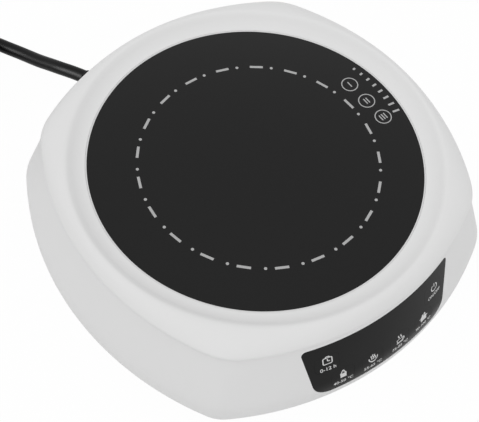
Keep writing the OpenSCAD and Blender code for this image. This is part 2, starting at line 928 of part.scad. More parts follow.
// Outline of the panel in x and z, drawn smaller all round by an inset. Its ends are tangent to the
// corner circles.
module panel_outline(inset) {
    r0 = max(eps, panel_low_r - inset);
    r1 = max(eps, panel_top_r - inset);
    x0 = panel_low_w / 2 - panel_low_r;
    x1 = panel_w / 2 - panel_top_r;
    z0 = z_low + panel_low_gap + panel_low_r;
    z1 = z_part - panel_top_gap - panel_top_r;
    lean = atan2(z1 - z0, x1 - x0) - acos((r0 - r1) / norm([x1 - x0, z1 - z0]));
    end = [cos(lean), sin(lean)];
    half = [[x0, z0 - r0], [x0, z0] + r0 * end, [x1, z1] + r1 * end, [x1, z1 + r1]];
    polygon(concat(half, [for (i = [len(half) - 1 : -1 : 0]) [-half[i][0], half[i][1]]]));
    for (s = [-1, 1]) {
        translate([s * x0, z0]) circle(r0);
        translate([s * x1, z1]) circle(r1);
    }
}

module key_outline(k, grow) {
    translate(KEYS[k]) round_rect(key_w + 2 * grow, key_h + 2 * grow, key_r + grow);
}

module control_panel() {
    color("#2e2e2e")
        intersection() {
            front_slab(panel_flush, panel_t);
            through_front()
                difference() {
                    panel_outline(0);
                    for (k = [0 : len(KEYS) - 1]) key_outline(k, key_gap);
                }
        }
}

module key(k) {
    face_y = wall_y(KEYS[k][0], KEYS[k][1]);
    color("#303030") {
        intersection() {
            front_slab(key_flush, key_depth);
            through_front() key_outline(k, 0);
        }
        intersection() {
            front_slab(key_depth - flange_t, key_depth);
            through_front() key_outline(k, flange_w);
        }
        at_key(k)
            translate([0, plunger_y, 0])
                rotate([90, 0, 0]) cylinder(h = face_y - key_depth / 2 + plunger_y, d = stem_d);
    }
}

// Cord exit: a frame on the back wall whose +y points out along the strain relief
exit_x = -20.7;
exit_lean = 20;
exit_lift = 5.6;
exit_z = z_floor + exit_lift;
exit_at = [exit_x, wall_y(exit_x, exit_z), exit_z];
exit_dir = [-sin(exit_lean), cos(exit_lean), 0];
gland_wall = 1;
gland_r = cord_d / 2 + gland_wall;
flange_lip = 0.9;
flange_r = gland_r + flange_lip;
flange_back = 1.6;
flange_at = wall_t + flange_back;
flange_d = 2;
lead_r = 1.2;
lead_l = 6;
lead_x = 1.6;
heater_lead_x = 4.5;
board_lead_pitch = 4;
board_lead_r = 0.9;
board_lead_lap = 0.7;
block_w = 22;
block_d = 14;
block_h = 11;
block_y = -(exit_at[1] - heater_r - terminal_d / 2) / cos(exit_lean);
block_at = exit_at + exit_dir * block_y;
sheath_l = -block_y - gland_in - lead_l - block_d / 2;
clamp_d = 8;
clamp_w = 20;
clamp_cap = 2;
clamp_gap = 0.5;
clamp_y = -gland_in - clamp_gap - clamp_d / 2;
clamp_top = cord_d / 2 + clamp_cap;
clamp_screw_x = 7;

module at_exit() {
    translate(exit_at) rotate(exit_lean) children();
}

module at_clamp_screws() {
    translate([exit_at[0], exit_at[1]])
        rotate(exit_lean)
            for (s = [-1, 1]) translate([s * clamp_screw_x, clamp_y]) children();
}

module cord_gland() {
    shoulder = 1.4;
    taper = gland_wall / 2;
    color("#1c1c1c")
        at_exit()
            rotate([-90, 0, 0]) {
                translate([0, 0, -gland_in]) cylinder(h = gland_in + shoulder + eps, r = gland_r);
                translate([0, 0, -flange_at - flange_d]) cylinder(h = flange_d, r = flange_r);
                translate([0, 0, shoulder])
                    cylinder(h = gland_out - shoulder, r1 = gland_r + taper, r2 = gland_r - taper);
            }
}

module cord_sheath() {
    color("#181818")
        at_exit()
            translate([0, -gland_in, 0]) rotate([90, 0, 0]) cylinder(h = sheath_l, d = cord_d);
}

module cord_clamp() {
    color("gray")
        at_exit()
            difference() {
                translate([-clamp_w / 2, clamp_y - clamp_d / 2, z_floor - exit_z])
                    cube([clamp_w, clamp_d, exit_z - z_floor + clamp_top]);
                translate([0, clamp_y - clamp_d, 0])
                    rotate([-90, 0, 0]) cylinder(h = 2 * clamp_d, r = cord_d / 2 + screw_fit);
                for (s = [-1, 1])
                    translate([s * clamp_screw_x, clamp_y, clamp_top]) screw_hole(exit_z);
            }
}

module clamp_screws() {
    color("silver")
        at_clamp_screws()
            translate([0, 0, exit_z + clamp_top]) screw(exit_z + clamp_top - z_plate - bore_spare);
}

module mains_leads() {
    color("sienna")
        at_exit()
            for (s = [-1, 1])
                translate([s * lead_x, -gland_in - sheath_l, 0])
                    rotate([90, 0, 0]) cylinder(h = lead_l, r = lead_r);
}

module terminal_block() {
    color("ivory")
        at_exit()
            translate([-block_w / 2, block_y - block_d / 2, z_floor - exit_z])
                cube([block_w, block_d, block_h]);
}

module heater_leads() {
    color("white")
        at_exit()
            for (s = [-1, 1])
                translate([s * heater_lead_x, block_y, z_floor + block_h - exit_z])
                    cylinder(h = terminal_z - z_floor - block_h, r = lead_r);
}

module board_leads() {
    across = (power_x + board_lead_lap - block_at[0]) / cos(exit_lean) - block_w / 2;
    color("royalblue")
        at_exit()
            for (y = [0, board_lead_pitch])
                translate([block_w / 2, block_y + y, power_top + board_lead_r - exit_z])
                    rotate([0, 90, 0]) cylinder(h = across + y * tan(exit_lean), r = board_lead_r);
}

// Tie and plug
tie_w = 6;
tie_gap = 0.25;
tie_turn = 0.125;
tie_edge = 2;
plug_relief = 22;
plug_l = 30;
plug_w = 26;
plug_edge = 4;
pin_l = 17;
pin_w = 6.3;
pin_t = 1.5;
pin_gap = 12.7;

// Free cord: steps in x and y from the strain relief's tip, and the share of the drop that is still to come
CORD_ROUTE = [
    [0, 0, 1], [-3.2, 6.2, 0.95], [-6.7, 13.2, 0.81], [-9.2, 19.7, 0.58], [-11.7, 26.2, 0.34],
    [-14.2, 33.2, 0.13], [-16.7, 39.2, 0.02], [-20.2, 45.7, 0], [-26.2, 56.7, 0], [-32.2, 67.7, 0]
];
cord_tip = exit_at + exit_dir * gland_out;
lie_z = cord_d / 2 + tie_gap + tie_t;
cord_points = [
    for (p = CORD_ROUTE) [cord_tip[0] + p[0], cord_tip[1] + p[1], lie_z + p[2] * (cord_tip[2] - lie_z)]
];
cord_sides = 8;

// Coil: in two layers, it spirals in, climbs in the half turn where the spiral turns back, and spirals out
coil_rings = 24;
coil_sides = 6;
coil_from = cord_points[len(cord_points) - 1];
coil_before = cord_points[len(cord_points) - 2];
coil_heading = atan2(coil_from[1] - coil_before[1], coil_from[0] - coil_before[0]);
coil_dir = [cos(coil_heading), sin(coil_heading), 0];
coil_pitch = cord_d + coil_gap;
coil_start = coil_from + coil_dir * cord_d;
coil_centre = coil_start + coil_r * [-coil_dir[1], coil_dir[0], 0];
function coil_layer(t) = smooth(min(1, max(0, 2 * (t - coil_turns / 2) + 0.5)));
function coil_point(t) =
    let (r = coil_r - coil_pitch * min(t, coil_turns - t), a = coil_heading - 90 + 360 * t)
    coil_centre + [r * cos(a), r * sin(a), coil_pitch * coil_layer(t)];
coil_loops = [for (i = [0 : coil_turns * coil_rings]) coil_point(i / coil_rings)];
coil_out_heading = coil_heading + 360 * coil_turns;
coil_out = [cos(coil_out_heading), sin(coil_out_heading), 0];
plug_gap = 1;
plug_clear = sqrt(pow(coil_r + cord_d / 2 + plug_gap, 2) - pow(coil_r - plug_w / 2, 2));
coil_tail = max(cord_d, plug_clear - plug_relief);
coil_end = coil_loops[len(coil_loops) - 1] + coil_out * coil_tail;
coil_points = concat([coil_from], coil_loops, [coil_end]);

// A tube swept along points, with its end faces square to the given end directions
function unit(v) = v / norm(v);
function along(p, i) =
    let (n = len(p)) unit(p[min(n - 1, i + 1)] - p[max(0, i - 1)]);
module swept_tube(p, d, sides, first_dir, last_dir) {
    n = len(p);
    dirs = [for (i = [0 : n - 1]) i == 0 ? first_dir : i == n - 1 ? last_dir : along(p, i)];
    points = [
        for (i = [0 : n - 1])
            let (u = unit(cross([0, 0, 1], dirs[i])), v = cross(dirs[i], u))
            for (k = [0 : sides - 1])
                let (a = 360 * (k + 0.5) / sides) p[i] + d / 2 * (cos(a) * u + sin(a) * v)
    ];
    faces = concat(
        [for (k = [1 : sides - 2]) [0, k, k + 1]],
        [
            for (i = [0 : n - 2], k = [0 : sides - 1])
                let (a = i * sides, b = a + sides, k2 = (k + 1) % sides)
                each [[a + k, b + k, b + k2], [a + k, b + k2, a + k2]]
        ],
        [for (k = [1 : sides - 2]) let (a = (n - 1) * sides) [a, a + k + 1, a + k]]
    );
    polyhedron(points, faces);
}

module cord() {
    color("#161616") swept_tube(cord_points, cord_d, cord_sides, exit_dir, coil_dir);
}

module cord_coil() {
    color("#161616") swept_tube(coil_points, cord_d, coil_sides, coil_dir, coil_out);
}

// Least gap between turns, on points at least half a turn apart along the cord
coil_least = min([
    for (i = [0 : 2 : len(coil_loops) - 1], j = [i + coil_rings / 2 : 1 : len(coil_loops) - 1])
        norm(coil_loops[i] - coil_loops[j])
]) - cord_d;
echo(least_gap_between_coil_turns = coil_least);

// Tie: a flat band round the turns where both layers lie one above the other
tie_in = coil_r - coil_pitch * (floor(coil_turns / 2) + tie_turn) - cord_d / 2;
tie_out = coil_r - coil_pitch * tie_turn + cord_d / 2;

module cord_tie() {
    w = tie_out - tie_in + 2 * tie_gap + 2 * tie_t;
    h = cord_d + coil_pitch + 2 * tie_gap + 2 * tie_t;
    mid = coil_from[2] + coil_pitch / 2;
    color("#202020")
        translate([coil_centre[0], coil_centre[1], mid])
            rotate(coil_heading - 90 + 360 * tie_turn)
                translate([(tie_in + tie_out) / 2, tie_w / 2, 0])
                    rotate([90, 0, 0])
                        linear_extrude(tie_w)
                            difference() {
                                round_rect(w, h, tie_edge);
                                round_rect(w - 2 * tie_t, h - 2 * tie_t, tie_edge - tie_t);
                            }
}

// Plug, lying beside the coil with two flat pins
module at_plug() {
    translate(coil_end) rotate(coil_out_heading) children();
}

module plug_body() {
    h = 2 * coil_end[2];
    color("#1a1a1a")
        at_plug() {
            rotate([0, 90, 0])
                cylinder(h = plug_relief, r1 = gland_r - gland_wall / 2, r2 = gland_r + gland_wall / 2);
            translate([plug_relief - eps, 0, 0])
                rotate([90, 0, 90]) linear_extrude(plug_l + eps) round_rect(plug_w, h, plug_edge);
        }
}

module plug_pins() {
    color("gold")
        at_plug()
            for (s = [-1, 1])
                translate([plug_relief + plug_l, s * pin_gap / 2 - pin_t / 2, -pin_w / 2])
                    cube([pin_l, pin_t, pin_w]);
}

upper_cover();
body_shell();
bottom_plate();
feet();
housing_screws();
glass_plate();
glass_seal();
heater_dish();
insulation_base();
insulation_ring();
heating_track();
limiter_rod();
limiter_head();
heater_terminal();
heater_strap();
heat_shield();
strap_screws();
fan_frame();
fan_stator();
fan_rotor();
fan_screws();
power_board();
board_screws();
relay();
transformer();
film_capacitor();
smoothing_capacitor();
control_board();
switch_bodies();
led_display();
buzzer();
control_ribbon();
control_panel();
key(0);  // timer_key
key(1);  // low_key
key(2);  // medium_key
key(3);  // high_key
key(4);  // boil_key
key(5);  // power_key
plunger(0);  // timer_plunger
plunger(1);  // low_plunger
plunger(2);  // medium_plunger
plunger(3);  // high_plunger
plunger(4);  // boil_plunger
plunger(5);  // power_plunger
cord_gland();
cord_sheath();
cord_clamp();
clamp_screws();
mains_leads();
terminal_block();
heater_leads();
board_leads();
cord();
cord_coil();
cord_tie();
plug_body();
plug_pins();
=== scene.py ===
# %% [markdown]
# # A portable hot plate
# The imported CAD model is the frame: every piece below goes where a CAD node already is, in metres. The first
# cell loads that frame.

# %% Load the frame
import math

import bmesh
import bpy
from mathutils import Matrix, Vector


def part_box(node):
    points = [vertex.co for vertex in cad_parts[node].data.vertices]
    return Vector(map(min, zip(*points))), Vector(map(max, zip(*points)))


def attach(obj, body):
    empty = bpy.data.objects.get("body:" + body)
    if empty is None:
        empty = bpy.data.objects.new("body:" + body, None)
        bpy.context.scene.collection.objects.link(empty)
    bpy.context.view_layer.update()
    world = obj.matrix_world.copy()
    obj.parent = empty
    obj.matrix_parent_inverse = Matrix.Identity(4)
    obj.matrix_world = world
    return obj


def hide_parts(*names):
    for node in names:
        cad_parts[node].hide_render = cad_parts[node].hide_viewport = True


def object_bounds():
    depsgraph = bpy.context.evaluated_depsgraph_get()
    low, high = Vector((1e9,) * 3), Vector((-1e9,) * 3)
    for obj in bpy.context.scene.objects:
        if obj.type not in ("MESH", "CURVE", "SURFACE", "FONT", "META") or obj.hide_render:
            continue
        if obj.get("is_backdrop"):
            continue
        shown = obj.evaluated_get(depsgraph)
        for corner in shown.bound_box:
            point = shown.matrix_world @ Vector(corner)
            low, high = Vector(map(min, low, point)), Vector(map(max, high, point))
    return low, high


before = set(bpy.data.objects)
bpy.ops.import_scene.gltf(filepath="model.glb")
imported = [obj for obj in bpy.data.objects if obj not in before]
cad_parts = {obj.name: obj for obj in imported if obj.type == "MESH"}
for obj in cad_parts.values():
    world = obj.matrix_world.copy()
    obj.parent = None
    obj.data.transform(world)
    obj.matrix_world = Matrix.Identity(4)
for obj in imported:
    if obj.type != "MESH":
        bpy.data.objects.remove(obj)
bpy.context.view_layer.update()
scene = bpy.context.scene
MM = 0.001

# %% [markdown]
# Two helpers carry all the finishes. Colours are written as the hex values that a screen shows, and one
# function turns them into the linear numbers that shader sockets take. The other adds a node: plain values
# are set on its sockets, and sockets of other nodes are linked to them. The short functions after them are
# what the finishes share: noise of a given size, a value spread over a range, two tones, bumps and the
# shader that closes a material.

# %% Colour and node helpers
def linear(hex_code):
    """An sRGB hex colour as linear RGBA."""
    parts = [int(hex_code[i : i + 2], 16) / 255 for i in (1, 3, 5)]
    return (*[c / 12.92 if c <= 0.04045 else ((c + 0.055) / 1.055) ** 2.4 for c in parts], 1.0)


def add(tree, kind, inputs=None, **settings):
    """Adds a shader node, with its settings, and its inputs as values or as sockets to link."""
    node = tree.nodes.new("ShaderNode" + kind)
    for name, value in settings.items():
        setattr(node, name, value)
    for name, value in (inputs or {}).items():
        if isinstance(value, bpy.types.NodeSocket):
            tree.links.new(value, node.inputs[name])
        else:
            node.inputs[name].default_value = value
    return node


def blank(name):
    """A new material with an empty node tree."""
    material = bpy.data.materials.new(name)
    material.use_nodes = True
    material.node_tree.nodes.clear()
    return material, material.node_tree


def noise(tree, place, size_mm, detail, rough=0.5):
    """Noise whose patches are about that size."""
    inputs = {"Vector": place, "Scale": 1 / (size_mm * MM), "Detail": detail, "Roughness": rough}
    return add(tree, "TexNoise", inputs).outputs[0]


def spread(tree, value, low, high):
    """A value from 0 to 1, spread from low to high."""
    return add(tree, "MapRange", {"Value": value, "To Min": low, "To Max": high}).outputs[0]


def two_tones(tree, share, first, second):
    """A mix of two colours."""
    return add(tree, "Mix", {0: share, 6: linear(first), 7: linear(second)}, data_type="RGBA").outputs[2]


def bumps(tree, height, strength, depth_mm):
    """A normal that is roughened by a height."""
    return add(tree, "Bump", {"Height": height, "Strength": strength, "Distance": depth_mm * MM}).outputs[0]


def principled(tree, inputs):
    """Closes a material with its shader."""
    shader = add(tree, "BsdfPrincipled", inputs)
    add(tree, "OutputMaterial", {"Surface": shader.outputs[0]})


print("white plastic is", [round(c, 3) for c in linear("#DFDFDF")])

# %% [markdown]
# The camera comes before the pieces, because the cord's unseen part has to lie outside its view. It looks
# down at the hot plate from the front left, with a little roll, through a long lens.

# %% Camera
EYE = Vector((-219.2, -229.6, 502.6)) * MM
AIM = Vector((-11.715, -4.866, 21.8)) * MM
ROLL = math.radians(6.722)
back = (EYE - AIM).normalized()
level = Vector((0, 0, 1)).cross(back).normalized()
upright = back.cross(level)
right = level * math.cos(ROLL) + upright * math.sin(ROLL)
up = upright * math.cos(ROLL) - level * math.sin(ROLL)
camera_data = bpy.data.cameras.new("camera")
camera_data.sensor_width = 36
camera_data.lens = 87.73
camera = bpy.data.objects.new("camera", camera_data)
camera.matrix_world = Matrix.Translation(EYE) @ Matrix((right, up, back)).transposed().to_4x4()
scene.collection.objects.link(camera)
scene.camera = camera
scene.view_settings.view_transform = "Standard"
print("camera stands", round((EYE - AIM).length, 3), "m away")

# %% [markdown]
# The stage is a plain pale floor under a soft sky that is brighter above and to the left, as under large
# diffusers. The camera, and shiny surfaces, see the floor and the sky as white, while the light that reaches
# the object stays at a plain level, so that a colour renders about as it is written. Seen from below, the
# floor is clear, so that a view from there shows the underside. A strip softbox at the left is linked to the
# cord alone, and gives it the highlight along its length.

# %% Stage and light
SKY_DARK, SKY_BRIGHT, SKY_TOWARD = 0.38, 1.14, (-0.5, -0.18, 0.85)
PAPER_WHITE = 0.98
FLOOR_HALF, FLOOR_Z = 4, -0.0001
BOX_FROM, BOX_AT = Vector((-1.017, 0.1, 0.695)), Vector((-0.035, 0.13, 0.01))
BOX_W, BOX_H, BOX_POWER = 1.1, 0.7, 34


def seen_rays(tree):
    """1 for rays from the camera, a reflection or through glass, and 0 for the others."""
    rays = add(tree, "LightPath").outputs
    seen = add(tree, "Math", {0: rays["Is Camera Ray"], 1: rays["Is Glossy Ray"]})
    return add(tree, "Math", {0: seen.outputs[0], 1: rays["Is Transmission Ray"]}, use_clamp=True).outputs[0]


world = bpy.data.worlds.new("studio_sky")
scene.world = world
world.use_nodes = True
sky = world.node_tree
sky.nodes.clear()
toward = add(sky, "VectorMath", {0: add(sky, "TexCoord").outputs["Generated"], 1: SKY_TOWARD},
             operation="DOT_PRODUCT")
plain = add(sky, "MapRange", {"Value": toward.outputs["Value"], "From Min": -1.0, "To Min": SKY_DARK,
                              "To Max": SKY_BRIGHT})
strength = spread(sky, seen_rays(sky), plain.outputs[0], 1.0)
sky_colour = add(sky, "Background", {"Color": linear("#FFFFFF"), "Strength": strength})
add(sky, "OutputWorld", {"Surface": sky_colour.outputs[0]})

studio_paper, tree = blank("studio_paper")
share = add(tree, "Math", {0: seen_rays(tree), 1: PAPER_WHITE}, operation="MULTIPLY")
paper = add(tree, "BsdfDiffuse", {"Color": linear("#DBDBDB")})
glow = add(tree, "Emission", {"Color": linear("#FFFFFF"), "Strength": 1.0})
mixed = add(tree, "MixShader", {0: share.outputs[0], 1: paper.outputs[0], 2: glow.outputs[0]})
from_below = add(tree, "NewGeometry").outputs["Backfacing"]
clear = add(tree, "BsdfTransparent").outputs[0]
one_sided = add(tree, "MixShader", {0: from_below, 1: mixed.outputs[0], 2: clear})
add(tree, "OutputMaterial", {"Surface": one_sided.outputs[0]})

bm = bmesh.new()
bmesh.ops.create_grid(bm, x_segments=1, y_segments=1, size=FLOOR_HALF)
bmesh.ops.translate(bm, verts=bm.verts, vec=(0, 0, FLOOR_Z))
floor_mesh = bpy.data.meshes.new("floor")
bm.to_mesh(floor_mesh)
bm.free()
floor_mesh.materials.append(studio_paper)
floor = bpy.data.objects.new("floor", floor_mesh)
scene.collection.objects.link(floor)
floor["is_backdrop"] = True

softbox_data = bpy.data.lights.new("strip_softbox", "AREA")
softbox_data.shape = "RECTANGLE"
softbox_data.size, softbox_data.size_y = BOX_W, BOX_H
softbox_data.energy = BOX_POWER
softbox = bpy.data.objects.new("strip_softbox", softbox_data)
facing = (BOX_FROM - BOX_AT).to_track_quat("Z", "Y").to_matrix().to_4x4()
softbox.matrix_world = Matrix.Translation(BOX_FROM) @ facing
softbox.visible_diffuse = False
softbox_lit = bpy.data.collections.new("lit_by_softbox")
softbox.light_linking.receiver_collection = softbox_lit
scene.collection.objects.link(softbox)

print("sky light from", SKY_DARK, "to", SKY_BRIGHT, "and", softbox.name)

# %% [markdown]
# The mains cord is sheathed in soft PVC: extruded, almost black, and satin rather than shiny, so it shows a
# grey highlight along its length. Noise at a fraction of a millimetre stands for the drawn skin.

# %% Flexible PVC
def soft_pvc(name, colour, rough, grain_mm):
    """Extruded or moulded soft PVC: a dull skin with faint cloudy patches where it was handled."""
    material, tree = blank(name)
    place = add(tree, "TexCoord").outputs["Object"]
    skin = noise(tree, place, grain_mm, 3.0)
    cloud = noise(tree, place, 14, 2.0)
    principled(tree, {
        "Base Color": linear(colour), "Roughness": spread(tree, cloud, rough - 0.06, rough + 0.08),
        "IOR": 1.25, "Normal": bumps(tree, skin, 0.25, 0.05),
    })
    return material


black_pvc = soft_pvc("black_pvc_sheath", "#060607", 0.4, 0.6)
print("made", black_pvc.name)

# %% [markdown]
# The cord leaves the back through its strain relief, sinks to the table in a long slope and runs off to the
# left. Its stored length is wound in a flat coil of two layers: the turns spiral in, climb by one cord and
# spiral out again. One curve follows the whole route, so that the cord has its real length.

# %% Mains cord
CORD_D = 7.2
EXIT = Vector((-24.8042, 113.781, 12.6))
ROUTE = (
    (0, 0, 1), (-3.2, 6.2, 0.95), (-6.7, 13.2, 0.81), (-9.2, 19.7, 0.58), (-11.7, 26.2, 0.34),
    (-14.2, 33.2, 0.13), (-16.7, 39.2, 0.02), (-20.2, 45.7, 0), (-26.2, 56.7, 0), (-32.2, 67.7, 0),
)
LIE_Z = 4.45
COIL_R, COIL_TURNS, COIL_PITCH, COIL_TAIL = 45, 5.25, 7.7, 15.8967
COIL_POINTS = 48


def ease(u):
    """A smooth step from 0 to 1."""
    u = min(1, max(0, u))
    return u * u * (3 - 2 * u)


def rounded(points, between):
    """The points with others between them, on a smooth curve through all of them."""
    ends = [2 * points[0] - points[1], *points, 2 * points[-1] - points[-2]]
    found = [points[0]]
    for p, q, r, s in zip(ends, ends[1:], ends[2:], ends[3:]):
        for i in range(1, between + 1):
            t = i / between
            found.append((2 * q + (r - p) * t + (2 * p - 5 * q + 4 * r - s) * t * t
                          + (3 * q - p - 3 * r + s) * t ** 3) / 2)
    return found


def flat_turn(angle):
    """A level unit vector at an angle."""
    return Vector((math.cos(angle), math.sin(angle), 0))


free = rounded([Vector((EXIT.x + x, EXIT.y + y, LIE_Z + s * (EXIT.z - LIE_Z))) for x, y, s in ROUTE], 3)
heading = math.atan2(11, -6)  # that of the route's last stretch
coil_start = free[-1] + flat_turn(heading) * CORD_D
coil_centre = coil_start + flat_turn(heading + math.pi / 2) * COIL_R
coil = []
for i in range(int(COIL_TURNS * COIL_POINTS) + 1):
    t = i / COIL_POINTS
    radius = COIL_R - COIL_PITCH * min(t, COIL_TURNS - t)
    climb = COIL_PITCH * ease(2 * (t - COIL_TURNS / 2) + 0.5)
    out = flat_turn(heading - math.pi / 2 + 2 * math.pi * t)
    coil.append(coil_centre + out * radius + Vector((0, 0, climb)))
plug_heading = heading + 2 * math.pi * COIL_TURNS
plug_at = coil[-1] + flat_turn(plug_heading) * COIL_TAIL
line = [p * MM for p in (*free, *coil, coil[-1].lerp(plug_at, 0.5), plug_at)]

cord_data = bpy.data.curves.new("mains_cord", "CURVE")
cord_data.dimensions = "3D"
cord_data.bevel_depth = CORD_D / 2 * MM
cord_data.bevel_resolution = 5
cord_data.use_fill_caps = True
spline = cord_data.splines.new("POLY")
spline.points.add(len(line) - 1)
for point, place in zip(spline.points, line):
    point.co = (*place, 1)
spline.use_smooth = True
cord_data.materials.append(black_pvc)
mains_cord = bpy.data.objects.new("mains_cord", cord_data)
scene.collection.objects.link(mains_cord)
softbox_lit.objects.link(mains_cord)
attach(mains_cord, "housing")
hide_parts("cord", "cord_coil")

# %% [markdown]
# Most pieces are made the same way at the end: the bmesh becomes an object at the origin, its faces are
# shaded smooth, only its hard edges stay sharp, and it rides on a body of the frame. The other functions here
# turn a profile, extrude faces and add one bmesh to another.

# %% From a bmesh to a piece
def piece(name, bm, material, body="housing", stands_for=(), sharp=38):
    """A finished object from a bmesh, which rides on a body and stands for CAD nodes."""
    for face in bm.faces:
        face.smooth = True
    for edge in bm.edges:
        edge.smooth = edge.calc_face_angle(0) < math.radians(sharp)
    mesh = bpy.data.meshes.new(name)
    bm.to_mesh(mesh)
    bm.free()
    mesh.materials.append(material)
    obj = bpy.data.objects.new(name, mesh)
    scene.collection.objects.link(obj)
    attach(obj, body)
    if stands_for:
        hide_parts(*stands_for)
    print(name, len(mesh.polygons), "faces")
    return obj


def spun(profile, steps=96):
    """A bmesh turned round z from radius and height points, in millimetres."""
    bm = bmesh.new()
    verts = [bm.verts.new((r * MM, 0, h * MM)) for r, h in profile]
    edges = [bm.edges.new(pair) for pair in zip(verts, verts[1:])]
    bmesh.ops.spin(bm, geom=[*verts, *edges], axis=(0, 0, 1), cent=(0, 0, 0), angle=2 * math.pi,
                   steps=steps, use_merge=True)
    bmesh.ops.remove_doubles(bm, verts=bm.verts, dist=1e-6)
    bmesh.ops.recalc_face_normals(bm, faces=bm.faces)
    return bm


def raised(bm, faces, step):
    """Extrudes faces by a step, and gives the new faces."""
    made = bmesh.ops.extrude_face_region(bm, geom=faces)["geom"]
    bmesh.ops.translate(bm, verts=[p for p in made if isinstance(p, bmesh.types.BMVert)], vec=step)
    return [p for p in made if isinstance(p, bmesh.types.BMFace)]


def join(bm, other):
    """Adds another bmesh to a bmesh."""
    mesh = bpy.data.meshes.new("joining")
    other.to_mesh(mesh)
    other.free()
    bm.from_mesh(mesh)
    bpy.data.meshes.remove(mesh)


print("tools: piece, spun, raised, join")

# %% [markdown]
# The housing is white ABS, injection moulded in a tool with a fine spark-eroded skin. The eye gets an even
# satin white whose highlights are broad and soft. The grain is drawn at half a millimetre, a little
# coarser than the real one, so that it still breaks up the gloss in the render.

# %% White ABS
white_abs, tree = blank("white_abs_spark_textured")
place = add(tree, "TexCoord").outputs["Object"]
spark = noise(tree, place, 0.5, 4.0, 0.6)
flow = noise(tree, place, 60, 2.0)
principled(tree, {
    "Base Color": two_tones(tree, flow, "#DDDDDD", "#E0E0E0"), "Roughness": spread(tree, spark, 0.4, 0.54),
    "IOR": 1.53, "Specular IOR Level": 0.4, "Normal": bumps(tree, spark, 0.12, 0.03),
})
print("made", white_abs.name)

# %% [markdown]
# Seen from above, the housing is a square whose sides bow out: each side is an arc about a point on its own
# axis, and each corner is a smaller arc that meets two sides at a tangent. From the side, the wall runs
# straight out from the crease under the collar and bends softly into an upright band. These few functions
# give its radius.

# %% Shape of the wall
BASE_BOW, BASE_CORNER = 153, 18
COLLAR_BOW, COLLAR_CORNER = 135.7, 30
CREASE, BAND_H, BEND, LOW_EDGE = 1.2, 10, 0.15, 2.5
base_w = 2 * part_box("body_shell")[1].x / MM
collar_w = 2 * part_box("upper_cover")[1].x / MM
z_low, z_part = (corner.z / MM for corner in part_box("body_shell"))
z_band = z_low + BAND_H
z_bend = z_band - BEND * (z_part - z_band)


def bowed_square(width, bow, corner, angle):
    """Radius of the bowed square at an angle."""
    c = width / 2 - bow
    k = (c + math.sqrt(2 * (bow - corner) ** 2 - c * c)) / 2
    t = math.atan2(k, k - c)
    meet = math.atan2(bow * math.sin(t), c + bow * math.cos(t))
    p = (angle + math.pi / 4) % (math.pi / 2) - math.pi / 4
    if abs(p) <= meet:
        return c * math.cos(p) + math.sqrt(bow ** 2 - (c * math.sin(p)) ** 2)
    q = math.pi / 4 - abs(p)
    m = k * math.sqrt(2)
    return m * math.cos(q) + math.sqrt(corner ** 2 - (m * math.sin(q)) ** 2)


def collar_r(angle):
    return bowed_square(collar_w, COLLAR_BOW, COLLAR_CORNER, angle)


def wall_r(angle, z):
    """Radius of the outer wall at an angle and a height."""
    u = (z_part - z) / (z_part - z_band)
    swing = max(0, u) if u < 1 - BEND else 1 if u > 1 + BEND else u - (u - 1 + BEND) ** 2 / (4 * BEND)
    low = max(0, z_low + LOW_EDGE - z)
    turned_in = LOW_EDGE - math.sqrt(LOW_EDGE ** 2 - low ** 2)
    base = bowed_square(base_w, BASE_BOW, BASE_CORNER, angle)
    return (1 - swing) * (collar_r(angle) - CREASE) + swing * base - turned_in


def wall_y(x, z):
    """Distance of the front wall from the middle plane."""
    y = base_w / 2
    for _ in range(6):
        y = math.sqrt(wall_r(math.atan2(x, y), z) ** 2 - x * x)
    return y


print("wall", round(base_w, 1), "wide; front at the band", round(wall_y(0, z_band), 2))

# %% [markdown]
# A ring such as this housing can be lofted: one circle is extruded from station to station, each station
# moves its points to a radius and a height at their own angle, and the last ring is bridged to the first.
# That gives even quads all round, which shade far more smoothly than the solid's facets.

# %% Loft
STEPS = 360


def loft(stations):
    """A closed ring through stations, which give radius and height at an angle. Also its edge rings."""
    bm = bmesh.new()
    verts = bmesh.ops.create_circle(bm, segments=STEPS, radius=1)["verts"]
    rings = []
    for number, station in enumerate(stations):
        if number:
            made = bmesh.ops.extrude_edge_only(bm, edges=rings[-1])["geom"]
            verts = [part for part in made if isinstance(part, bmesh.types.BMVert)]
        own = set(verts)
        rings.append(list({e for v in verts for e in v.link_edges if e.other_vert(v) in own}))
        for v in verts:
            angle = math.atan2(v.co.y, v.co.x)
            r, z = station(angle)
            v.co = (r * math.cos(angle) * MM, r * math.sin(angle) * MM, z * MM)
    bmesh.ops.bridge_loops(bm, edges=rings[0] + rings[-1])
    bmesh.ops.recalc_face_normals(bm, faces=bm.faces)
    return bm, rings


def soften(bm, edges, offset_mm, segments=3):
    """Rounds chosen edges."""
    bmesh.ops.bevel(bm, geom=edges, offset=offset_mm * MM, offset_type="OFFSET", affect="EDGES",
                    segments=segments, profile=0.5, material=-1, clamp_overlap=True)


print("lofts have", STEPS, "points to a ring")

# %% [markdown]
# The upper cover carries the glass. From the crease it rises over a rounded collar to a round ridge, then
# falls, steeply at first, to a flat lip at the glass. Smoothing a few rings rounds the ridge. Inside are the
# ledge for the glass and a skirt that drops into the wall.

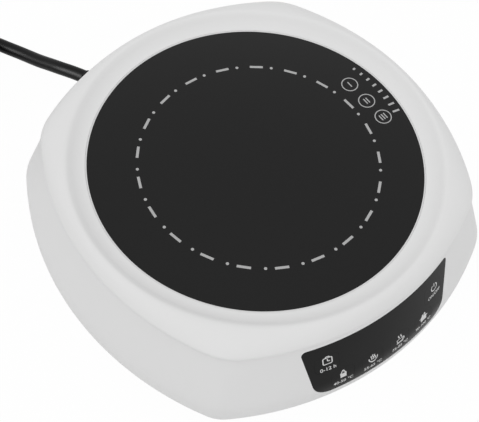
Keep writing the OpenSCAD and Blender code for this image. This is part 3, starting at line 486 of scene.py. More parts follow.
# %% Upper cover
WALL_T, FIT, SKIRT_T, SKIRT_H = 2.8, 0.3, 1.6, 3
RIDGE_R, COLLAR_EDGE, LIP_H, DISH = 89.9, 1.2, 0.3, 1.7
SEAT_R, LEDGE_R, Z_SEAT, Z_LEDGE = 80.7, 72.5, 45.0, 42.5
COLLAR_STEPS, BEZEL_STEPS, CREST_PASSES = 12, 14, 10
LIP_ROUND, COLLAR_ROUND, PART_ROUND = 0.3, 0.7, 0.25
UNDER_RIDGE = 1.6 * WALL_T
z_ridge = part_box("upper_cover")[1].z / MM
z_glass_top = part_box("glass_plate")[1].z / MM
z_collar = z_part + COLLAR_EDGE


def collar_station(t):
    across = (t + 1 - math.cos(math.pi / 2 * t)) / 2
    rise = (t + math.sin(math.pi / 2 * t)) / 2
    return lambda a: (collar_r(a) + (RIDGE_R - collar_r(a)) * across, z_collar + (z_ridge - z_collar) * rise)


def bezel_station(t):
    drop = (z_ridge - z_glass_top - LIP_H) * (1 - (1 - t) ** DISH)
    return lambda a: (RIDGE_R + (SEAT_R - RIDGE_R) * t, z_ridge - drop)


def skirt_station(inset, z):
    return lambda a: (collar_r(a) - CREASE - WALL_T - FIT - inset, z)


stations = [lambda a: (collar_r(a), z_part)]
stations += [collar_station(i / COLLAR_STEPS) for i in range(COLLAR_STEPS + 1)]
stations += [bezel_station(i / BEZEL_STEPS) for i in range(1, BEZEL_STEPS + 1)]
ridge = 1 + COLLAR_STEPS
stations += [lambda a, r=r, z=z: (r, z) for r, z in (
    (SEAT_R, Z_SEAT), (LEDGE_R, Z_SEAT), (LEDGE_R, Z_LEDGE), (SEAT_R + WALL_T, Z_LEDGE),
    (SEAT_R + WALL_T, z_glass_top - WALL_T / 2), (RIDGE_R - WALL_T, z_ridge - UNDER_RIDGE),
)]
stations += [skirt_station(SKIRT_T, z_part + SKIRT_T), skirt_station(SKIRT_T, z_part - SKIRT_H),
             skirt_station(0, z_part - SKIRT_H), skirt_station(0, z_part)]
bm, rings = loft(stations)
crest = list({v for ring in rings[ridge - 3 : ridge + 5] for e in ring for v in e.verts})
for _ in range(CREST_PASSES):
    bmesh.ops.smooth_vert(bm, verts=crest, factor=0.5, use_axis_x=True, use_axis_y=True, use_axis_z=True)
soften(bm, rings[ridge + BEZEL_STEPS], LIP_ROUND)
soften(bm, rings[1], COLLAR_ROUND, 4)
soften(bm, rings[0], PART_ROUND)
piece("white_cover", bm, white_abs, stands_for=["upper_cover"])

# %% [markdown]
# The panel lies in an opening of the front wall and the cord passes through the back, so the wall is lofted
# first and then cut. A Boolean needs closed cutters: a drawing in x and z pushed through the front, and a
# cylinder along the cord's exit. The panel is narrower below, and its ends are tangent to its corner
# circles. The carving helper takes bmeshes and gives a bmesh back.

# %% Cutting helpers
PANEL_W, PANEL_LOW_W, PANEL_LOW_GAP, PANEL_TOP_GAP = 86, 79.8, 6.1, 3.8
PANEL_LOW_R, PANEL_TOP_R = 10.4, 2.4
CUT_FROM, CUT_TO = -0.12, -0.06


def arc(x, y, r, start, end, steps=16):
    """Points on an arc, in degrees."""
    turns = [math.radians(start + (end - start) * i / steps) for i in range(steps + 1)]
    return [(x + r * math.cos(t), y + r * math.sin(t)) for t in turns]


def panel_outline(grow):
    """Outline of the panel in x and z, drawn larger all round."""
    r0, r1 = PANEL_LOW_R + grow, PANEL_TOP_R + grow
    low = Vector((PANEL_LOW_W / 2 - PANEL_LOW_R, z_low + PANEL_LOW_GAP + PANEL_LOW_R))
    top = Vector((PANEL_W / 2 - PANEL_TOP_R, z_part - PANEL_TOP_GAP - PANEL_TOP_R))
    between = top - low
    lean = math.degrees(math.atan2(between.y, between.x) - math.acos((r0 - r1) / between.length))
    half = arc(*low, r0, -90, lean) + arc(*top, r1, lean, 90, 8)
    return half + [(-x, z) for x, z in reversed(half)]


def key_outline(x, z, width, height, r):
    """A rounded rectangle in x and z."""
    w, h = width / 2 - r, height / 2 - r
    corners = ((1, 1), (-1, 1), (-1, -1), (1, -1))
    return [point for i, (a, b) in enumerate(corners)
            for point in arc(x + a * w, z + b * h, r, 90 * i, 90 * i + 90, 6)]


def drawn(bm, points):
    """A flat face in x and y from points in millimetres."""
    verts = [bm.verts.new((x * MM, y * MM, 0)) for x, y in points]
    return bmesh.ops.contextual_create(bm, geom=verts)["faces"]


def front_prism(points):
    """A closed prism through the front wall, drawn in x and z."""
    bm = bmesh.new()
    drawn(bm, points)
    bmesh.ops.rotate(bm, verts=bm.verts, cent=(0, 0, 0), matrix=Matrix.Rotation(math.pi / 2, 3, "X"))
    bmesh.ops.translate(bm, verts=bm.verts, vec=(0, CUT_FROM, 0))
    raised(bm, bm.faces[:], (0, CUT_TO - CUT_FROM, 0))
    bmesh.ops.recalc_face_normals(bm, faces=bm.faces)
    return bm


def carve(bm, cutters, operation="DIFFERENCE"):
    """The bmesh after Booleans with closed cutters."""
    helpers = []
    for source in (bm, *cutters):
        mesh = bpy.data.meshes.new("carving")
        source.to_mesh(mesh)
        source.free()
        helpers.append(bpy.data.objects.new("carving", mesh))
        scene.collection.objects.link(helpers[-1])
    for cutter in helpers[1:]:
        modifier = helpers[0].modifiers.new("carve", "BOOLEAN")
        modifier.object = cutter
        modifier.operation = operation
        modifier.solver = "EXACT"
    bpy.context.view_layer.update()
    result = bmesh.new()
    result.from_object(helpers[0], bpy.context.evaluated_depsgraph_get())
    bmesh.ops.dissolve_degenerate(result, dist=1e-6, edges=result.edges)
    for helper in helpers:
        mesh = helper.data
        bpy.data.objects.remove(helper)
        bpy.data.meshes.remove(mesh)
    return result


print("panel outline:", len(panel_outline(0)), "points")

# %% [markdown]
# The wall turns in at its lower edge, runs up the band and leans in to the crease. Inside it is hollow,
# with a ledge that the bottom plate screws up against.

# %% Wall of the housing
PANEL_FIT = 0.12
LEDGE_W, LEDGE_RISE, LEDGE_SLOPE = 2, 1.5, 1
EXIT_LEAN = math.radians(20)
GLAND_R, GLAND_OUT, GLAND_IN = 4.6, 12, 10
BORE_FIT, BORE_L, PLATE_T = 0.2, 30, 2.5
EDGE_STEPS, WALL_STEPS, CREASE_ROUND = 6, 26, 0.4
exit_way = Vector((-math.sin(EXIT_LEAN), math.cos(EXIT_LEAN), 0))
exit_frame = (Matrix.Translation((EXIT - exit_way * GLAND_OUT) * MM)
              @ Matrix.Rotation(EXIT_LEAN, 4, "Z") @ Matrix.Rotation(-math.pi / 2, 4, "X"))
z_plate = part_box("bottom_plate")[0].z / MM
z_floor = z_plate + PLATE_T


def wall_station(z, inset=0, at=None):
    return lambda a: (wall_r(a, z if at is None else at) - inset, z)


heights = [z_low + LOW_EDGE * (1 - math.cos(math.pi / 2 * i / EDGE_STEPS)) for i in range(EDGE_STEPS + 1)]
heights += [z_bend + (z_part - z_bend) * i / WALL_STEPS for i in range(WALL_STEPS + 1)]
stations = [wall_station(z) for z in heights]
stations += [wall_station(z, WALL_T) for z in heights[:-20:-4]]  # the inside needs fewer
stations += [
    wall_station(z_floor + LEDGE_RISE + LEDGE_SLOPE, WALL_T),
    wall_station(z_floor + LEDGE_RISE, WALL_T + LEDGE_W),
    wall_station(z_floor, WALL_T + LEDGE_W),
    wall_station(z_floor, WALL_T),
    wall_station(z_low, WALL_T, at=z_floor),
]
bm, rings = loft(stations)
soften(bm, rings[len(heights) - 1], CREASE_ROUND)
opening = front_prism(panel_outline(PANEL_FIT))
bore = bmesh.new()
bore_r = (GLAND_R + BORE_FIT) * MM
bmesh.ops.create_cone(bore, cap_ends=True, segments=64, radius1=bore_r, radius2=bore_r, depth=BORE_L * MM,
                      matrix=exit_frame)
piece("white_wall", carve(bm, [opening, bore]), white_abs, stands_for=["body_shell"])

# %% [markdown]
# The plate is glass-ceramic: rolled, polished, and so dark that it looks black. From above it reads as one
# even dark tone with a very faint unevenness in its gloss, which is what the rolling leaves. The prints on it
# and on the keys are flat and dull, with pinholes of the size of the printing mesh.

# %% Glass-ceramic and printed enamel
glass_ceramic, tree = blank("black_glass_ceramic")
place = add(tree, "TexCoord").outputs["Object"]
smudge = noise(tree, place, 35, 3.0)
ripple = noise(tree, place, 9, 1.0)
fleck = noise(tree, place, 0.8, 2.0)
principled(tree, {
    "Base Color": two_tones(tree, fleck, "#1C1C1C", "#222222"), "Roughness": spread(tree, smudge, 0.1, 0.2),
    "IOR": 1.2, "Normal": bumps(tree, ripple, 0.05, 0.02),
})


def screen_print(name, colour, worn):
    """Screen-printed enamel or ink: flat and dull, with the pinholes that the mesh leaves."""
    material, tree = blank(name)
    place = add(tree, "TexCoord").outputs["Object"]
    mesh_marks = noise(tree, place, 0.35, 2.0)
    principled(tree, {
        "Base Color": two_tones(tree, mesh_marks, worn, colour), "Roughness": 0.55, "IOR": 1.5,
        "Normal": bumps(tree, mesh_marks, 0.2, 0.01),
    })
    return material


grey_enamel = screen_print("grey_glass_enamel", "#B4B4B4", "#9C9C9C")
white_ink = screen_print("light_grey_ink", "#DEDEDE", "#C8C8C8")
print("made", glass_ceramic.name, grey_enamel.name, white_ink.name)

# %% [markdown]
# The plate itself is a disc, extruded from a filled circle, with its upper rim ground to a small round. The
# silicone bead that fills the gap to the cover comes further down.

# %% Glass plate
GLASS_ROUND = 0.2
low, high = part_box("glass_plate")
glass_r = high.x / MM
bm = bmesh.new()
bmesh.ops.create_circle(bm, cap_ends=True, segments=STEPS, radius=high.x)
bmesh.ops.translate(bm, verts=bm.verts, vec=(0, 0, low.z))
raised(bm, bm.faces[:], (0, 0, high.z - low.z))
bmesh.ops.recalc_face_normals(bm, faces=bm.faces)
soften(bm, [e for e in bm.edges if min(v.co.z for v in e.verts) > high.z - 1e-6], GLASS_ROUND, 2)
piece("glass_top", bm, glass_ceramic, stands_for=["glass_plate"])

# %% [markdown]
# The print is a thin layer fired on the glass: a ring of dashes and dots round the heated zone, and at the
# right three heat marks with a rising scale. One dash and one dot are drawn, and spin repeats them.

# %% Print on the glass
RING_R, RING_AT, RING_PAIRS = 57.7, (0.57, -1.42), 21
DASH_L, DASH_W, DASH_TURN, DOT_D, DOT_TURN = 6.5, 1.3, 2.6, 1.5, 12.3
MARKS, MARK_R, MARK_W = ((66.4, 10.3), (66.8, -2.3), (67.2, -14.4)), 4.0, 0.5
BAR_L, BAR_W, BAR_PITCH = 3.4, 0.6, 1.4
SCALE_R, SCALE_BARS, SCALE_W, SCALE_FROM, SCALE_TURN = 76.4, 8, 1.1, 12.6, 3.44
SCALE_L, SCALE_RISE = 1.4, 0.32
INK_T = 0.03


def flat_bar(bm, length, width, turn, radius, at=(0, 0), z=0):
    """A flat bar whose length lies along the circle of that radius, at an angle in degrees."""
    bmesh.ops.create_grid(
        bm, x_segments=1, y_segments=1, size=0.5,
        matrix=Matrix.Translation((at[0] * MM, at[1] * MM, z * MM))
        @ Matrix.Rotation(math.radians(turn), 4, "Z") @ Matrix.Translation((radius * MM, 0, 0))
        @ Matrix.Diagonal((width * MM, length * MM, 1, 1)))


def flat_ring(bm, radius, width, at, z):
    """A flat ring about a point, as two circles bridged."""
    edges = []
    for r in (radius - width / 2, radius + width / 2):
        made = bmesh.ops.create_circle(bm, segments=48, radius=r * MM,
                                       matrix=Matrix.Translation((at[0] * MM, at[1] * MM, z * MM)))["verts"]
        edges += {e for v in made for e in v.link_edges}
    bmesh.ops.bridge_loops(bm, edges=edges)


bm = bmesh.new()
flat_bar(bm, DASH_L, DASH_W, DASH_TURN, RING_R, RING_AT, z_glass_top)
dot = Matrix.Rotation(math.radians(DOT_TURN), 3, "Z") @ Vector((RING_R, 0, 0))
dot += Vector((*RING_AT, z_glass_top))
bmesh.ops.create_circle(bm, cap_ends=True, segments=16, radius=DOT_D / 2 * MM,
                        matrix=Matrix.Translation(dot * MM))
bmesh.ops.spin(bm, geom=[*bm.verts, *bm.edges, *bm.faces], cent=(RING_AT[0] * MM, RING_AT[1] * MM, 0),
               axis=(0, 0, 1), angle=2 * math.pi * (RING_PAIRS - 1) / RING_PAIRS, steps=RING_PAIRS - 1,
               use_duplicate=True)
for bars, place in enumerate(MARKS, 1):
    flat_ring(bm, MARK_R, MARK_W, place, z_glass_top)
    for i in range(bars):
        flat_bar(bm, BAR_L, BAR_W, 0, (i - (bars - 1) / 2) * BAR_PITCH, place, z_glass_top)
for i in range(SCALE_BARS):
    flat_bar(bm, SCALE_W, SCALE_L + SCALE_RISE * i, SCALE_FROM - SCALE_TURN * i, SCALE_R, z=z_glass_top)
raised(bm, bm.faces[:], (0, 0, INK_T * MM))
bmesh.ops.recalc_face_normals(bm, faces=bm.faces)
piece("glass_print", bm, grey_enamel)

# %% [markdown]
# The panel and its keys are black polycarbonate with a glossy face. What keeps it from being a mirror is a
# faint orange peel, and a haze in patches of about two centimetres, where it is wiped.

# %% Black polycarbonate
panel_gloss, tree = blank("black_polycarbonate_gloss")
place = add(tree, "TexCoord").outputs["Object"]
peel = noise(tree, place, 1.6, 2.0)
haze = noise(tree, place, 22, 2.0)
principled(tree, {
    "Base Color": two_tones(tree, haze, "#1F1F1F", "#252525"), "Roughness": spread(tree, haze, 0.18, 0.3),
    "IOR": 1.12, "Normal": bumps(tree, peel, 0.06, 0.02),
})
print("made", panel_gloss.name)

# %% [markdown]
# The panel follows the wall's curve, so a grid that is a little too large is given its thickness, bent onto
# the wall, and cut to the panel's outline and to the six key openings.

# %% Panel
PANEL_T, PANEL_FLUSH, PANEL_SPARE = 1.4, 0.1, 4
KEY_W, KEY_H, KEY_R, KEY_GAP = 12, 10.4, 2.5, 0.05
KEYS = {
    "timer": (-31.8, 30.8), "low": (-24.6, 18), "medium": (-8.2, 18), "high": (8.2, 18), "boil": (24.6, 18),
    "power": (31.8, 30.8),
}
panel_mid = (z_low + PANEL_LOW_GAP + z_part - PANEL_TOP_GAP) / 2
panel_h = z_part - PANEL_TOP_GAP - z_low - PANEL_LOW_GAP


def bend_to_front(bm, x=0, z=0, depth=0):
    """Lays a flat drawing on the front wall: its x and y run along the wall, its z stands out from it."""
    for v in bm.verts:
        u, w = x + v.co.x / MM, z + v.co.y / MM
        v.co = Vector((u, -(wall_y(u, w) - depth) - v.co.z / MM, w)) * MM


bm = bmesh.new()
bmesh.ops.create_grid(bm, x_segments=72, y_segments=36, size=0.5)
bmesh.ops.scale(bm, verts=bm.verts, vec=((PANEL_W + PANEL_SPARE) * MM, (panel_h + PANEL_SPARE) * MM, 1))
raised(bm, bm.faces[:], (0, 0, (PANEL_FLUSH - PANEL_T) * MM))
bend_to_front(bm, 0, panel_mid, PANEL_FLUSH)
bmesh.ops.recalc_face_normals(bm, faces=bm.faces)
bm = carve(bm, [front_prism(panel_outline(0))], "INTERSECT")
bm = carve(bm, [front_prism(key_outline(x, z, KEY_W + 2 * KEY_GAP, KEY_H + 2 * KEY_GAP, KEY_R + KEY_GAP))
                for x, z in KEYS.values()])
piece("panel_inlay", bm, panel_gloss, stands_for=["control_panel"])

# %% [markdown]
# Each key is a small cap of the same plastic that follows the wall, with a rounded rim, a flange behind the
# panel so that it can't fall out, and a stem that ends on its switch. A few cuts across it give the face
# enough points to bend with the wall.

# %% Keys
KEY_DEPTH, FLANGE_W, FLANGE_T, STEM_D, RIM = 2.6, 0.8, 0.95, 4.5, 0.03
KEY_CUTS, KEY_CUT_PITCH = (-2, -1, 0, 1, 2), 1.7
plunger_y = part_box("timer_plunger")[0].y / MM
for key, (x, z) in KEYS.items():
    bm = bmesh.new()
    flange = drawn(bm, key_outline(0, 0, KEY_W + 2 * FLANGE_W, KEY_H + 2 * FLANGE_W, KEY_R + FLANGE_W))[0]
    bmesh.ops.translate(bm, verts=flange.verts, vec=(0, 0, (PANEL_FLUSH - KEY_DEPTH) * MM))
    cap = raised(bm, [flange], (0, 0, FLANGE_T * MM))[0]
    bmesh.ops.inset_region(bm, faces=[cap], thickness=FLANGE_W * MM, use_even_offset=True)
    raised(bm, [cap], (0, 0, (KEY_DEPTH - PANEL_FLUSH - FLANGE_T) * MM))
    bmesh.ops.delete(bm, geom=[cap], context="FACES_ONLY")
    bmesh.ops.recalc_face_normals(bm, faces=bm.faces)
    soften(bm, [e for e in bm.edges if all(v.co.z > -1e-7 for v in e.verts)], RIM, 1)
    for i in KEY_CUTS:
        for across in ((1, 0, 0), (0, 1, 0)):
            bmesh.ops.bisect_plane(bm, geom=[*bm.verts, *bm.edges, *bm.faces], dist=1e-7,
                                   plane_co=Vector(across) * i * KEY_CUT_PITCH * MM, plane_no=across)
    bend_to_front(bm, x, z, PANEL_FLUSH)
    reach = (wall_y(x, z) - KEY_DEPTH / 2 + plunger_y) * MM
    stem_at = Matrix.Translation((x * MM, plunger_y * MM - reach / 2, z * MM))
    stem = bmesh.new()
    bmesh.ops.create_cone(
        stem, cap_ends=True, segments=24, radius1=STEM_D / 2 * MM, radius2=STEM_D / 2 * MM, depth=reach,
        matrix=stem_at @ Matrix.Rotation(math.pi / 2, 4, "X"))
    bm = carve(bm, [stem], "UNION")
    piece(key + "_cap", bm, panel_gloss, key + "_button", [key + "_key"], sharp=20)

# %% [markdown]
# The signs on the keys are printed. A sign is a few strokes: each is a curve with a round section, made a
# mesh, pressed almost flat and laid on the key. The captions are plain numbers and the switch's ON/OFF.

# %% Printed signs
STROKE_W, INK_RISE = 0.55, 0.08
CAPTION_T, CAPTION_BOLD = 0.02, 0.03
STEAM_SWAY, HATCH_PITCH = 0.28, 0.4


def steam(x, y, h):
    """A rising wisp of steam."""
    return [(x + STEAM_SWAY * math.sin(2 * math.pi * i / 8), y + h * i / 8) for i in range(9)]


def hatch(left, right, low, high):
    """Level strokes that fill a rectangle."""
    count = math.ceil((high - low) / HATCH_PITCH)
    levels = [low + (high - low) * i / count for i in range(count + 1)]
    return [[(left, y), (right, y)] for y in levels]


def sign(strokes, caption, caption_size, caption_drop):
    """A bmesh of a sign's strokes and its caption, flat about the origin."""
    drawing = bpy.data.curves.new("sign", "CURVE")
    drawing.dimensions = "3D"
    drawing.bevel_depth = STROKE_W / 2 * MM
    drawing.bevel_resolution = 1
    drawing.use_fill_caps = True
    for points in strokes:
        stroke = drawing.splines.new("POLY")
        stroke.use_cyclic_u = points[0] == points[-1]
        if stroke.use_cyclic_u:
            points = points[:-1]
        stroke.points.add(len(points) - 1)
        for point, (x, y) in zip(stroke.points, points):
            point.co = (x * MM, y * MM, 0, 1)
    words = bpy.data.curves.new("caption", "FONT")
    words.body = caption
    words.size = caption_size * MM
    words.align_x = "CENTER"
    words.align_y = "CENTER"
    words.extrude = CAPTION_T * MM
    words.offset = CAPTION_BOLD * MM
    bm = bmesh.new()
    for data, drop, press in ((drawing, 0, INK_RISE), (words, caption_drop, 1)):
        helper = bpy.data.objects.new("sign", data)
        scene.collection.objects.link(helper)
        bpy.context.view_layer.update()
        mesh = bpy.data.meshes.new_from_object(helper.evaluated_get(bpy.context.evaluated_depsgraph_get()))
        mesh.transform(Matrix.Translation((0, -drop * MM, 0)) @ Matrix.Diagonal((1, 1, press, 1)))
        bm.from_mesh(mesh)
        bpy.data.objects.remove(helper)
        bpy.data.meshes.remove(mesh)
        bpy.data.curves.remove(data)
    return bm


SIGNS = {
    "timer": ((-31.5, 32.4), [
        arc(-1.5, 1.3, 0.7, 180, 90, 4) + arc(1.5, 1.3, 0.7, 90, 0, 4) + arc(1.5, -1.3, 0.7, 0, -90, 4)
        + arc(-1.5, -1.3, 0.7, 270, 180, 4) + [(-2.2, 1.3)],
        [(0, 1.3), (0, 0), (1.2, -0.3)], [(-1.1, 2.3), (-0.5, 2.8), (0.5, 2.8), (1.1, 2.3)],
    ], "0-12 h", 3.1, 5.3),
    "low": ((-24.4, 19.6), [
        [(-1.4, -2.2), (1.4, -2.2), (1.4, 0.2), (0.7, 1.1), (0.7, 1.6), (-0.7, 1.6), (-0.7, 1.1), (-1.4, 0.2),
         (-1.4, -2.2)],
        [(-0.5, 2.2), (0.5, 2.2)], *hatch(-1.4, 1.4, -1.9, 0),
    ], "40-50 °C", 2.8, 5.4),
    "medium": ((-8.0, 19.4), [
        arc(0, 0, 2.4, 180, 360), [(-2.4, 0), (-2.4, 0.4)], [(2.4, 0), (2.4, 0.4)],
        [(-1.1, -2.6), (1.1, -2.6)], steam(-1, -0.9, 2.7), steam(0, -0.9, 3.2), steam(1, -0.9, 2.7),
    ], "55-65 °C", 2.8, 5.6),
    "high": ((8.8, 19.4), [
        [(-2.3, 0), (1.5, 0), (1.2, -1.8), (-2.0, -1.8), (-2.3, 0)], [(-2.4, -2.4), (1.8, -2.4)],
        arc(1.5, -0.8, 0.8, 80, -100, 8), steam(-1.1, 0.7, 1.9), steam(0.4, 0.7, 1.9),
    ], "75-85 °C", 2.8, 5.3),
    "boil": ((24.8, 20.0), [
        *hatch(-2.0, 2.0, -1.9, 0.3), [(-2.8, -0.1), (2.8, -0.1)], [(-1.6, 0.7), (1.6, 0.7)],
        arc(-0.7, 1.5, 0.35, 0, 360, 10), arc(0.7, 1.8, 0.35, 0, 360, 10),
    ], "90-100 °C", 2.6, 5.0),
    "power": ((33.0, 32.3), [arc(0, 0, 2.0, 125, 415, 24), [(0, 0.3), (0, 2.5)]], "ON/OFF", 2.5, 4.6),
}
for key, ((x, z), strokes, caption, size, drop) in SIGNS.items():
    bm = sign(strokes, caption, size, drop)
    bend_to_front(bm, x, z, PANEL_FLUSH)
    piece(key + "_sign", bm, white_ink, key + "_button")

# %% [markdown]
# The strain relief is moulded on the cord: a collar that the wall grips, then a taper with ring grooves that
# lets the cord bend gently. It is turned on a spin axis and swung to the cord's direction.

# %% Strain relief
GRIP_R, GRIP_FROM, GRIP_TO = 5.5, -6.4, -4.4
GLAND_COLLAR = ((GLAND_R, 0.2), (4.95, 0.2), (5.1, 0.4), (5.1, 1.5))
GLAND_GROOVE = ((0, 0), (-0.6, 0.25), (-0.6, 0.95), (-0.12, 1.2))
GLAND_GROOVES, GLAND_FIRST, GLAND_PITCH, GLAND_SKIN_R, GLAND_TAPER = 4, 2.0, 2.4, 5.23, -0.094
GLAND_TIP = ((4.15, 11.2), (4.05, 11.7), (3.75, GLAND_OUT), (0, GLAND_OUT))


def ring_grooves(count, first, pitch, radius, slope, groove):
    """Profile points of ring grooves in a cone, whose radius changes with height by the slope."""
    starts = [first + pitch * i for i in range(count)]
    return [(radius + slope * start + r, start + h) for start in starts for r, h in groove]


bm = spun([
    (0, -GLAND_IN), (GLAND_R, -GLAND_IN), (GLAND_R, GRIP_FROM), (GRIP_R, GRIP_FROM), (GRIP_R, GRIP_TO),
    (GLAND_R, GRIP_TO), *GLAND_COLLAR,
    *ring_grooves(GLAND_GROOVES, GLAND_FIRST, GLAND_PITCH, GLAND_SKIN_R, GLAND_TAPER, GLAND_GROOVE), *GLAND_TIP,
], 64)
bmesh.ops.transform(bm, matrix=exit_frame, verts=bm.verts)
piece("strain_relief", bm, black_pvc, stands_for=["cord_gland"])

# %% [markdown]
# The plug is one moulding with grip grooves on both sides and a grooved neck. It is built along x at the
# origin, then turned and moved to the end of the coil.

# %% Plug
PLUG_NECK, PLUG_L, PLUG_W = 22, 30, 26
NECK_R, NECK_END_R, NECK_GROOVE = 4.1, 5.1, ((0, 0), (-0.6, 0.4), (-0.6, 1.4), (0.1, 1.8))
NECK_GROOVES, NECK_FIRST, NECK_PITCH, NECK_TAPER = 6, 1.5, 3.3, 0.045
SIDE_ROUND, NECK_ROUND, FACE_ROUND = 4, 1.5, 0.4
GROOVES, GROOVE_FROM, GROOVE_PITCH, GROOVE_SIZE = 5, 9, 3, (1.4, 1.6, 11)
plug_h = 2 * plug_at.z
plug_frame = Matrix.Translation(plug_at * MM) @ Matrix.Rotation(plug_heading, 4, "Z")


def span(edge):
    """The way from one end of an edge to the other."""
    return edge.verts[1].co - edge.verts[0].co


bm = spun([
    (0, 0), (NECK_R, 0),
    *ring_grooves(NECK_GROOVES, NECK_FIRST, NECK_PITCH, NECK_R, NECK_TAPER, NECK_GROOVE),
    (NECK_END_R, PLUG_NECK), (0, PLUG_NECK),
], 48)
bmesh.ops.rotate(bm, verts=bm.verts, cent=(0, 0, 0), matrix=Matrix.Rotation(math.pi / 2, 3, "Y"))
body = bmesh.new()
bmesh.ops.create_cube(body, size=1)
bmesh.ops.scale(body, verts=body.verts, vec=(PLUG_L * MM, PLUG_W * MM, plug_h * MM))
soften(body, [e for e in body.edges if abs(span(e).x) > 1e-6], SIDE_ROUND, 6)
for end, offset, segments in ((-1, NECK_ROUND, 4), (1, FACE_ROUND, 2)):
    rim = [e for e in body.edges if all(v.co.x * end > 0 for v in e.verts) and e.calc_face_angle(0) > 1]
    soften(body, rim, offset, segments)
bmesh.ops.translate(body, verts=body.verts, vec=((PLUG_NECK + PLUG_L / 2) * MM, 0, 0))
grooves = []
for side in (-1, 1):
    for i in range(GROOVES):
        groove = bmesh.new()
        bmesh.ops.create_cube(groove, size=1)
        bmesh.ops.scale(groove, verts=groove.verts, vec=[v * MM for v in GROOVE_SIZE])
        groove_x = PLUG_NECK + GROOVE_FROM + GROOVE_PITCH * i
        bmesh.ops.translate(groove, verts=groove.verts, vec=(groove_x * MM, side * PLUG_W / 2 * MM, 0))
        grooves.append(groove)
join(bm, carve(body, grooves))
bmesh.ops.transform(bm, matrix=plug_frame, verts=bm.verts)
plug = piece("plug_moulding", bm, black_pvc, stands_for=["plug_body"])

# %% [markdown]
# Metal shows how it was made: rolling, drawing or turning leaves streaks along one direction. One function
# draws them at about their real size. The pins need the brass now, and the parts inside the others later.

# %% Finishes of metal parts
def metal(name, colour, rough, streak_mm, stretch, relief=0.15):
    """Bare metal: streaks along the way it was rolled, drawn or turned, in gloss more than in colour."""
    material, tree = blank(name)
    place = add(tree, "TexCoord").outputs["Object"]
    along = add(tree, "Mapping", {"Vector": place, "Scale": stretch})
    streak = noise(tree, along.outputs[0], streak_mm, 3.0)
    principled(tree, {
        "Base Color": linear(colour), "Metallic": 1.0, "Normal": bumps(tree, streak, relief, 0.02),
        "Roughness": spread(tree, streak, rough - 0.1, rough + 0.12),
    })
    return material


brass = metal("drawn_brass", "#C9A95A", 0.3, 0.4, (1, 1, 6))
zinc_steel = metal("zinc_plated_steel", "#BFC3C6", 0.38, 0.5, (1, 1, 1))
sheet_steel = metal("aluminised_steel_sheet", "#B4B7B8", 0.42, 0.8, (8, 1, 1))
track_alloy = metal("oxidised_resistance_alloy", "#5A5652", 0.6, 0.5, (1, 1, 1))
print("made", brass.name, zinc_steel.name, sheet_steel.name, track_alloy.name)

# %% [markdown]
# The plug's two flat pins are blades of brass, rounded off at their tips so that they find their slots.

# %% Plug pins
PIN_L, PIN_W, PIN_T, PIN_GAP, TIP_ROUND = 17, 6.3, 1.5, 12.7, 1.0
bm = bmesh.new()
for side in (-1, 1):
    made = bmesh.ops.create_cube(bm, size=1, matrix=(
        Matrix.Translation(((PLUG_NECK + PLUG_L + PIN_L / 2) * MM, side * PIN_GAP / 2 * MM, 0))
        @ Matrix.Diagonal((PIN_L * MM, PIN_T * MM, PIN_W * MM, 1))))["verts"]
    tip = max(v.co.x for v in made)
    edges = {e for v in made for e in v.link_edges}
    at_tip = [e for e in edges if all(v.co.x > tip - 1e-6 for v in e.verts)]
    soften(bm, [e for e in at_tip if abs(span(e).z) < 1e-6], TIP_ROUND, 3)
bmesh.ops.transform(bm, matrix=plug_frame, verts=bm.verts)
pins = piece("pin_blades", bm, brass, stands_for=["plug_pins"])

# %% [markdown]
# Now the cord is whole: it has its real length and thickness, it leaves the object through its strain relief,
# and its plug with the pins is on its far end.

print("declared", mains_cord.name)

# %% [markdown]
# The other plastics, fibres and ceramics share one finish: two close tones in patches, and a grain whose
# size is that of the mould's skin, the fibre or the fired body. The first use is the white silicone bead
# under and round the glass, which fills the gap to the cover and is level with both.

# %% Silicone bead
def moulded(name, colour, tint, rough, grain_mm, relief, ior=1.5):
    """A moulded, pressed or fired material: two close tones in patches, and a grain of a given size."""
    material, tree = blank(name)
    place = add(tree, "TexCoord").outputs["Object"]
    grain = noise(tree, place, grain_mm, 4.0)
    patch = noise(tree, place, 12 * grain_mm, 2.0)
    principled(tree, {
        "Base Color": two_tones(tree, patch, colour, tint), "IOR": ior,
        "Roughness": spread(tree, grain, rough - 0.08, rough + 0.08),
        "Normal": bumps(tree, grain, relief, 0.1 * grain_mm),
    })
    return material


BEAD_IN, BEAD_OUT, BEAD_SLACK, BEAD_CREST = 0.3, 0.05, 0.03, 0.3
BEAD_EDGE_Z, BEAD_CREST_Z, BEAD_GLASS_Z = 0.02, 0.06, -0.05
white_silicone = moulded("white_silicone_rubber", "#D8D8D8", "#D2D2D2", 0.6, 0.5, 0.2, 1.41)
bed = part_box("glass_seal")[0].z / MM
glass_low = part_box("glass_plate")[0].z / MM
inner_r, rim_r, outer_r = LEDGE_R + BEAD_IN, glass_r + BEAD_SLACK, SEAT_R - BEAD_OUT
bm = spun([
    (inner_r, bed), (outer_r, bed), (outer_r, z_glass_top + BEAD_EDGE_Z),
    (SEAT_R - BEAD_CREST, z_glass_top + BEAD_CREST_Z), (rim_r, z_glass_top + BEAD_GLASS_Z),
    (rim_r, glass_low), (inner_r, glass_low), (inner_r, bed),
], STEPS)
piece("silicone_bead", bm, white_silicone, stands_for=["glass_seal"])

# %% [markdown]
# The feet are soft rubber: a turned button with a rounded rim, a shallow dimple underneath that grips the
# table, and a peg that is pulled through the bottom plate.

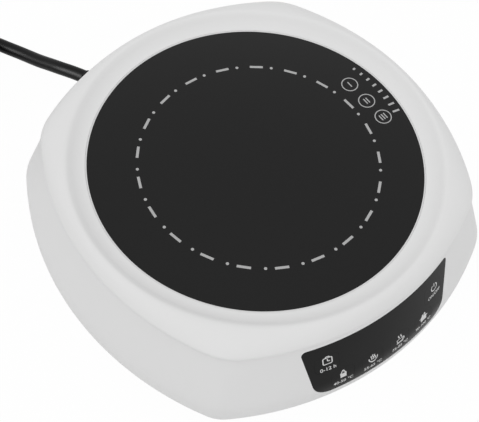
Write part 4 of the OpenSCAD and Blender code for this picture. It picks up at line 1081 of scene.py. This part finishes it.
# %% Rubber feet
FOOT_R, PEG_R = 7, 3
foot_rubber = soft_pvc("black_nitrile_rubber", "#232323", 0.75, 0.4)
foot_x, foot_y, peg_z = (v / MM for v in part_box("feet")[1])
profile = [(0, 0.5), (4.6, 0.5), (5.0, 0), (6.2, 0), (6.75, 0.2), (FOOT_R, 0.8), (FOOT_R, z_plate),
           (PEG_R, z_plate), (PEG_R, peg_z - 0.5), (PEG_R - 0.5, peg_z), (0, peg_z)]
bm = bmesh.new()
for side_x in (-1, 1):
    for side_y in (-1, 1):
        one = spun(profile, 48)
        at = (side_x * (foot_x - FOOT_R) * MM, side_y * (foot_y - FOOT_R) * MM, 0)
        bmesh.ops.translate(one, verts=one.verts, vec=at)
        join(bm, one)
piece("rubber_feet", bm, foot_rubber, stands_for=["feet"])

# %% [markdown]
# What is left of the frame is inside or underneath, and its shapes are right as they are. Each node gets the
# finish of its real material: moulded plastics, fibre, ceramic, quartz, laminate, tape and copper.

# %% Finishes of the inner parts
INNER = {
    moulded("grey_polypropylene", "#C4C4C2", "#BCBCBA", 0.55, 0.6, 0.3): ["bottom_plate"],
    moulded("pressed_mineral_fibre", "#D9D2C2", "#C7BFAE", 0.92, 0.8, 0.9): [
        "insulation_base", "insulation_ring"],
    moulded("fused_quartz", "#E4E8EA", "#D6DBDE", 0.15, 1.5, 0.05, 1.46): ["limiter_rod"],
    moulded("steatite_ceramic", "#E6DFCF", "#D8D0BE", 0.6, 0.3, 0.3, 1.6): [
        "limiter_head", "heater_terminal"],
    moulded("black_pbt", "#1E1E1F", "#262627", 0.5, 0.5, 0.25, 1.55): [
        "fan_frame", "fan_rotor", "switch_bodies", "buzzer", "cord_clamp"],
    moulded("green_solder_resist", "#1F5A34", "#2A6B3F", 0.35, 0.7, 0.3): ["power_board", "control_board"],
    moulded("blue_polyester", "#2F4F86", "#28457A", 0.45, 0.5, 0.2): ["relay"],
    moulded("yellow_polyester_tape", "#C9A83C", "#B89A34", 0.35, 1.2, 0.3): ["transformer", "film_capacitor"],
    moulded("navy_pvc_sleeve", "#1C2450", "#232C5C", 0.3, 0.8, 0.2): ["smoothing_capacitor"],
    moulded("red_display_epoxy", "#3A0C0E", "#45100F", 0.2, 1.0, 0.1): ["led_display"],
    moulded("grey_ribbon_pvc", "#B0B0B0", "#A2A2A2", 0.5, 0.6, 0.3): ["control_ribbon"],
    moulded("ivory_nylon", "#DEDAD0", "#D2CDC1", 0.5, 0.4, 0.25): [
        "terminal_block", *[key + "_plunger" for key in KEYS]],
    moulded("brown_silicone_lead", "#6A3D24", "#5E351F", 0.6, 0.5, 0.3): ["mains_leads"],
    moulded("white_glass_braid_lead", "#DAD8D2", "#C8C5BD", 0.8, 0.4, 0.8): ["heater_leads"],
    moulded("blue_pvc_lead", "#2A55A8", "#244A94", 0.5, 0.5, 0.2): ["board_leads"],
    soft_pvc("black_hook_and_loop_band", "#1A1A1A", 0.85, 0.5): ["cord_tie"],
    metal("enamelled_copper_winding", "#9A5A2E", 0.35, 0.4, (1, 1, 8), 0.6): ["fan_stator"],
    black_pvc: ["cord_sheath"],
    zinc_steel: ["housing_screws", "strap_screws", "fan_screws", "board_screws", "clamp_screws"],
    sheet_steel: ["heater_dish", "heater_strap", "heat_shield"],
    track_alloy: ["heating_track"],
}
for material, nodes in INNER.items():
    for node in nodes:
        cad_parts[node].data.materials.clear()
        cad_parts[node].data.materials.append(material)
print("inner finishes:", len(INNER), "on", sum(map(len, INNER.values())), "nodes")

# %% [markdown]
# Last, the box of the finished look is printed.

# %% Size of the finished look
low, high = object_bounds()
print("size", [round(v, 4) for v in high - low])
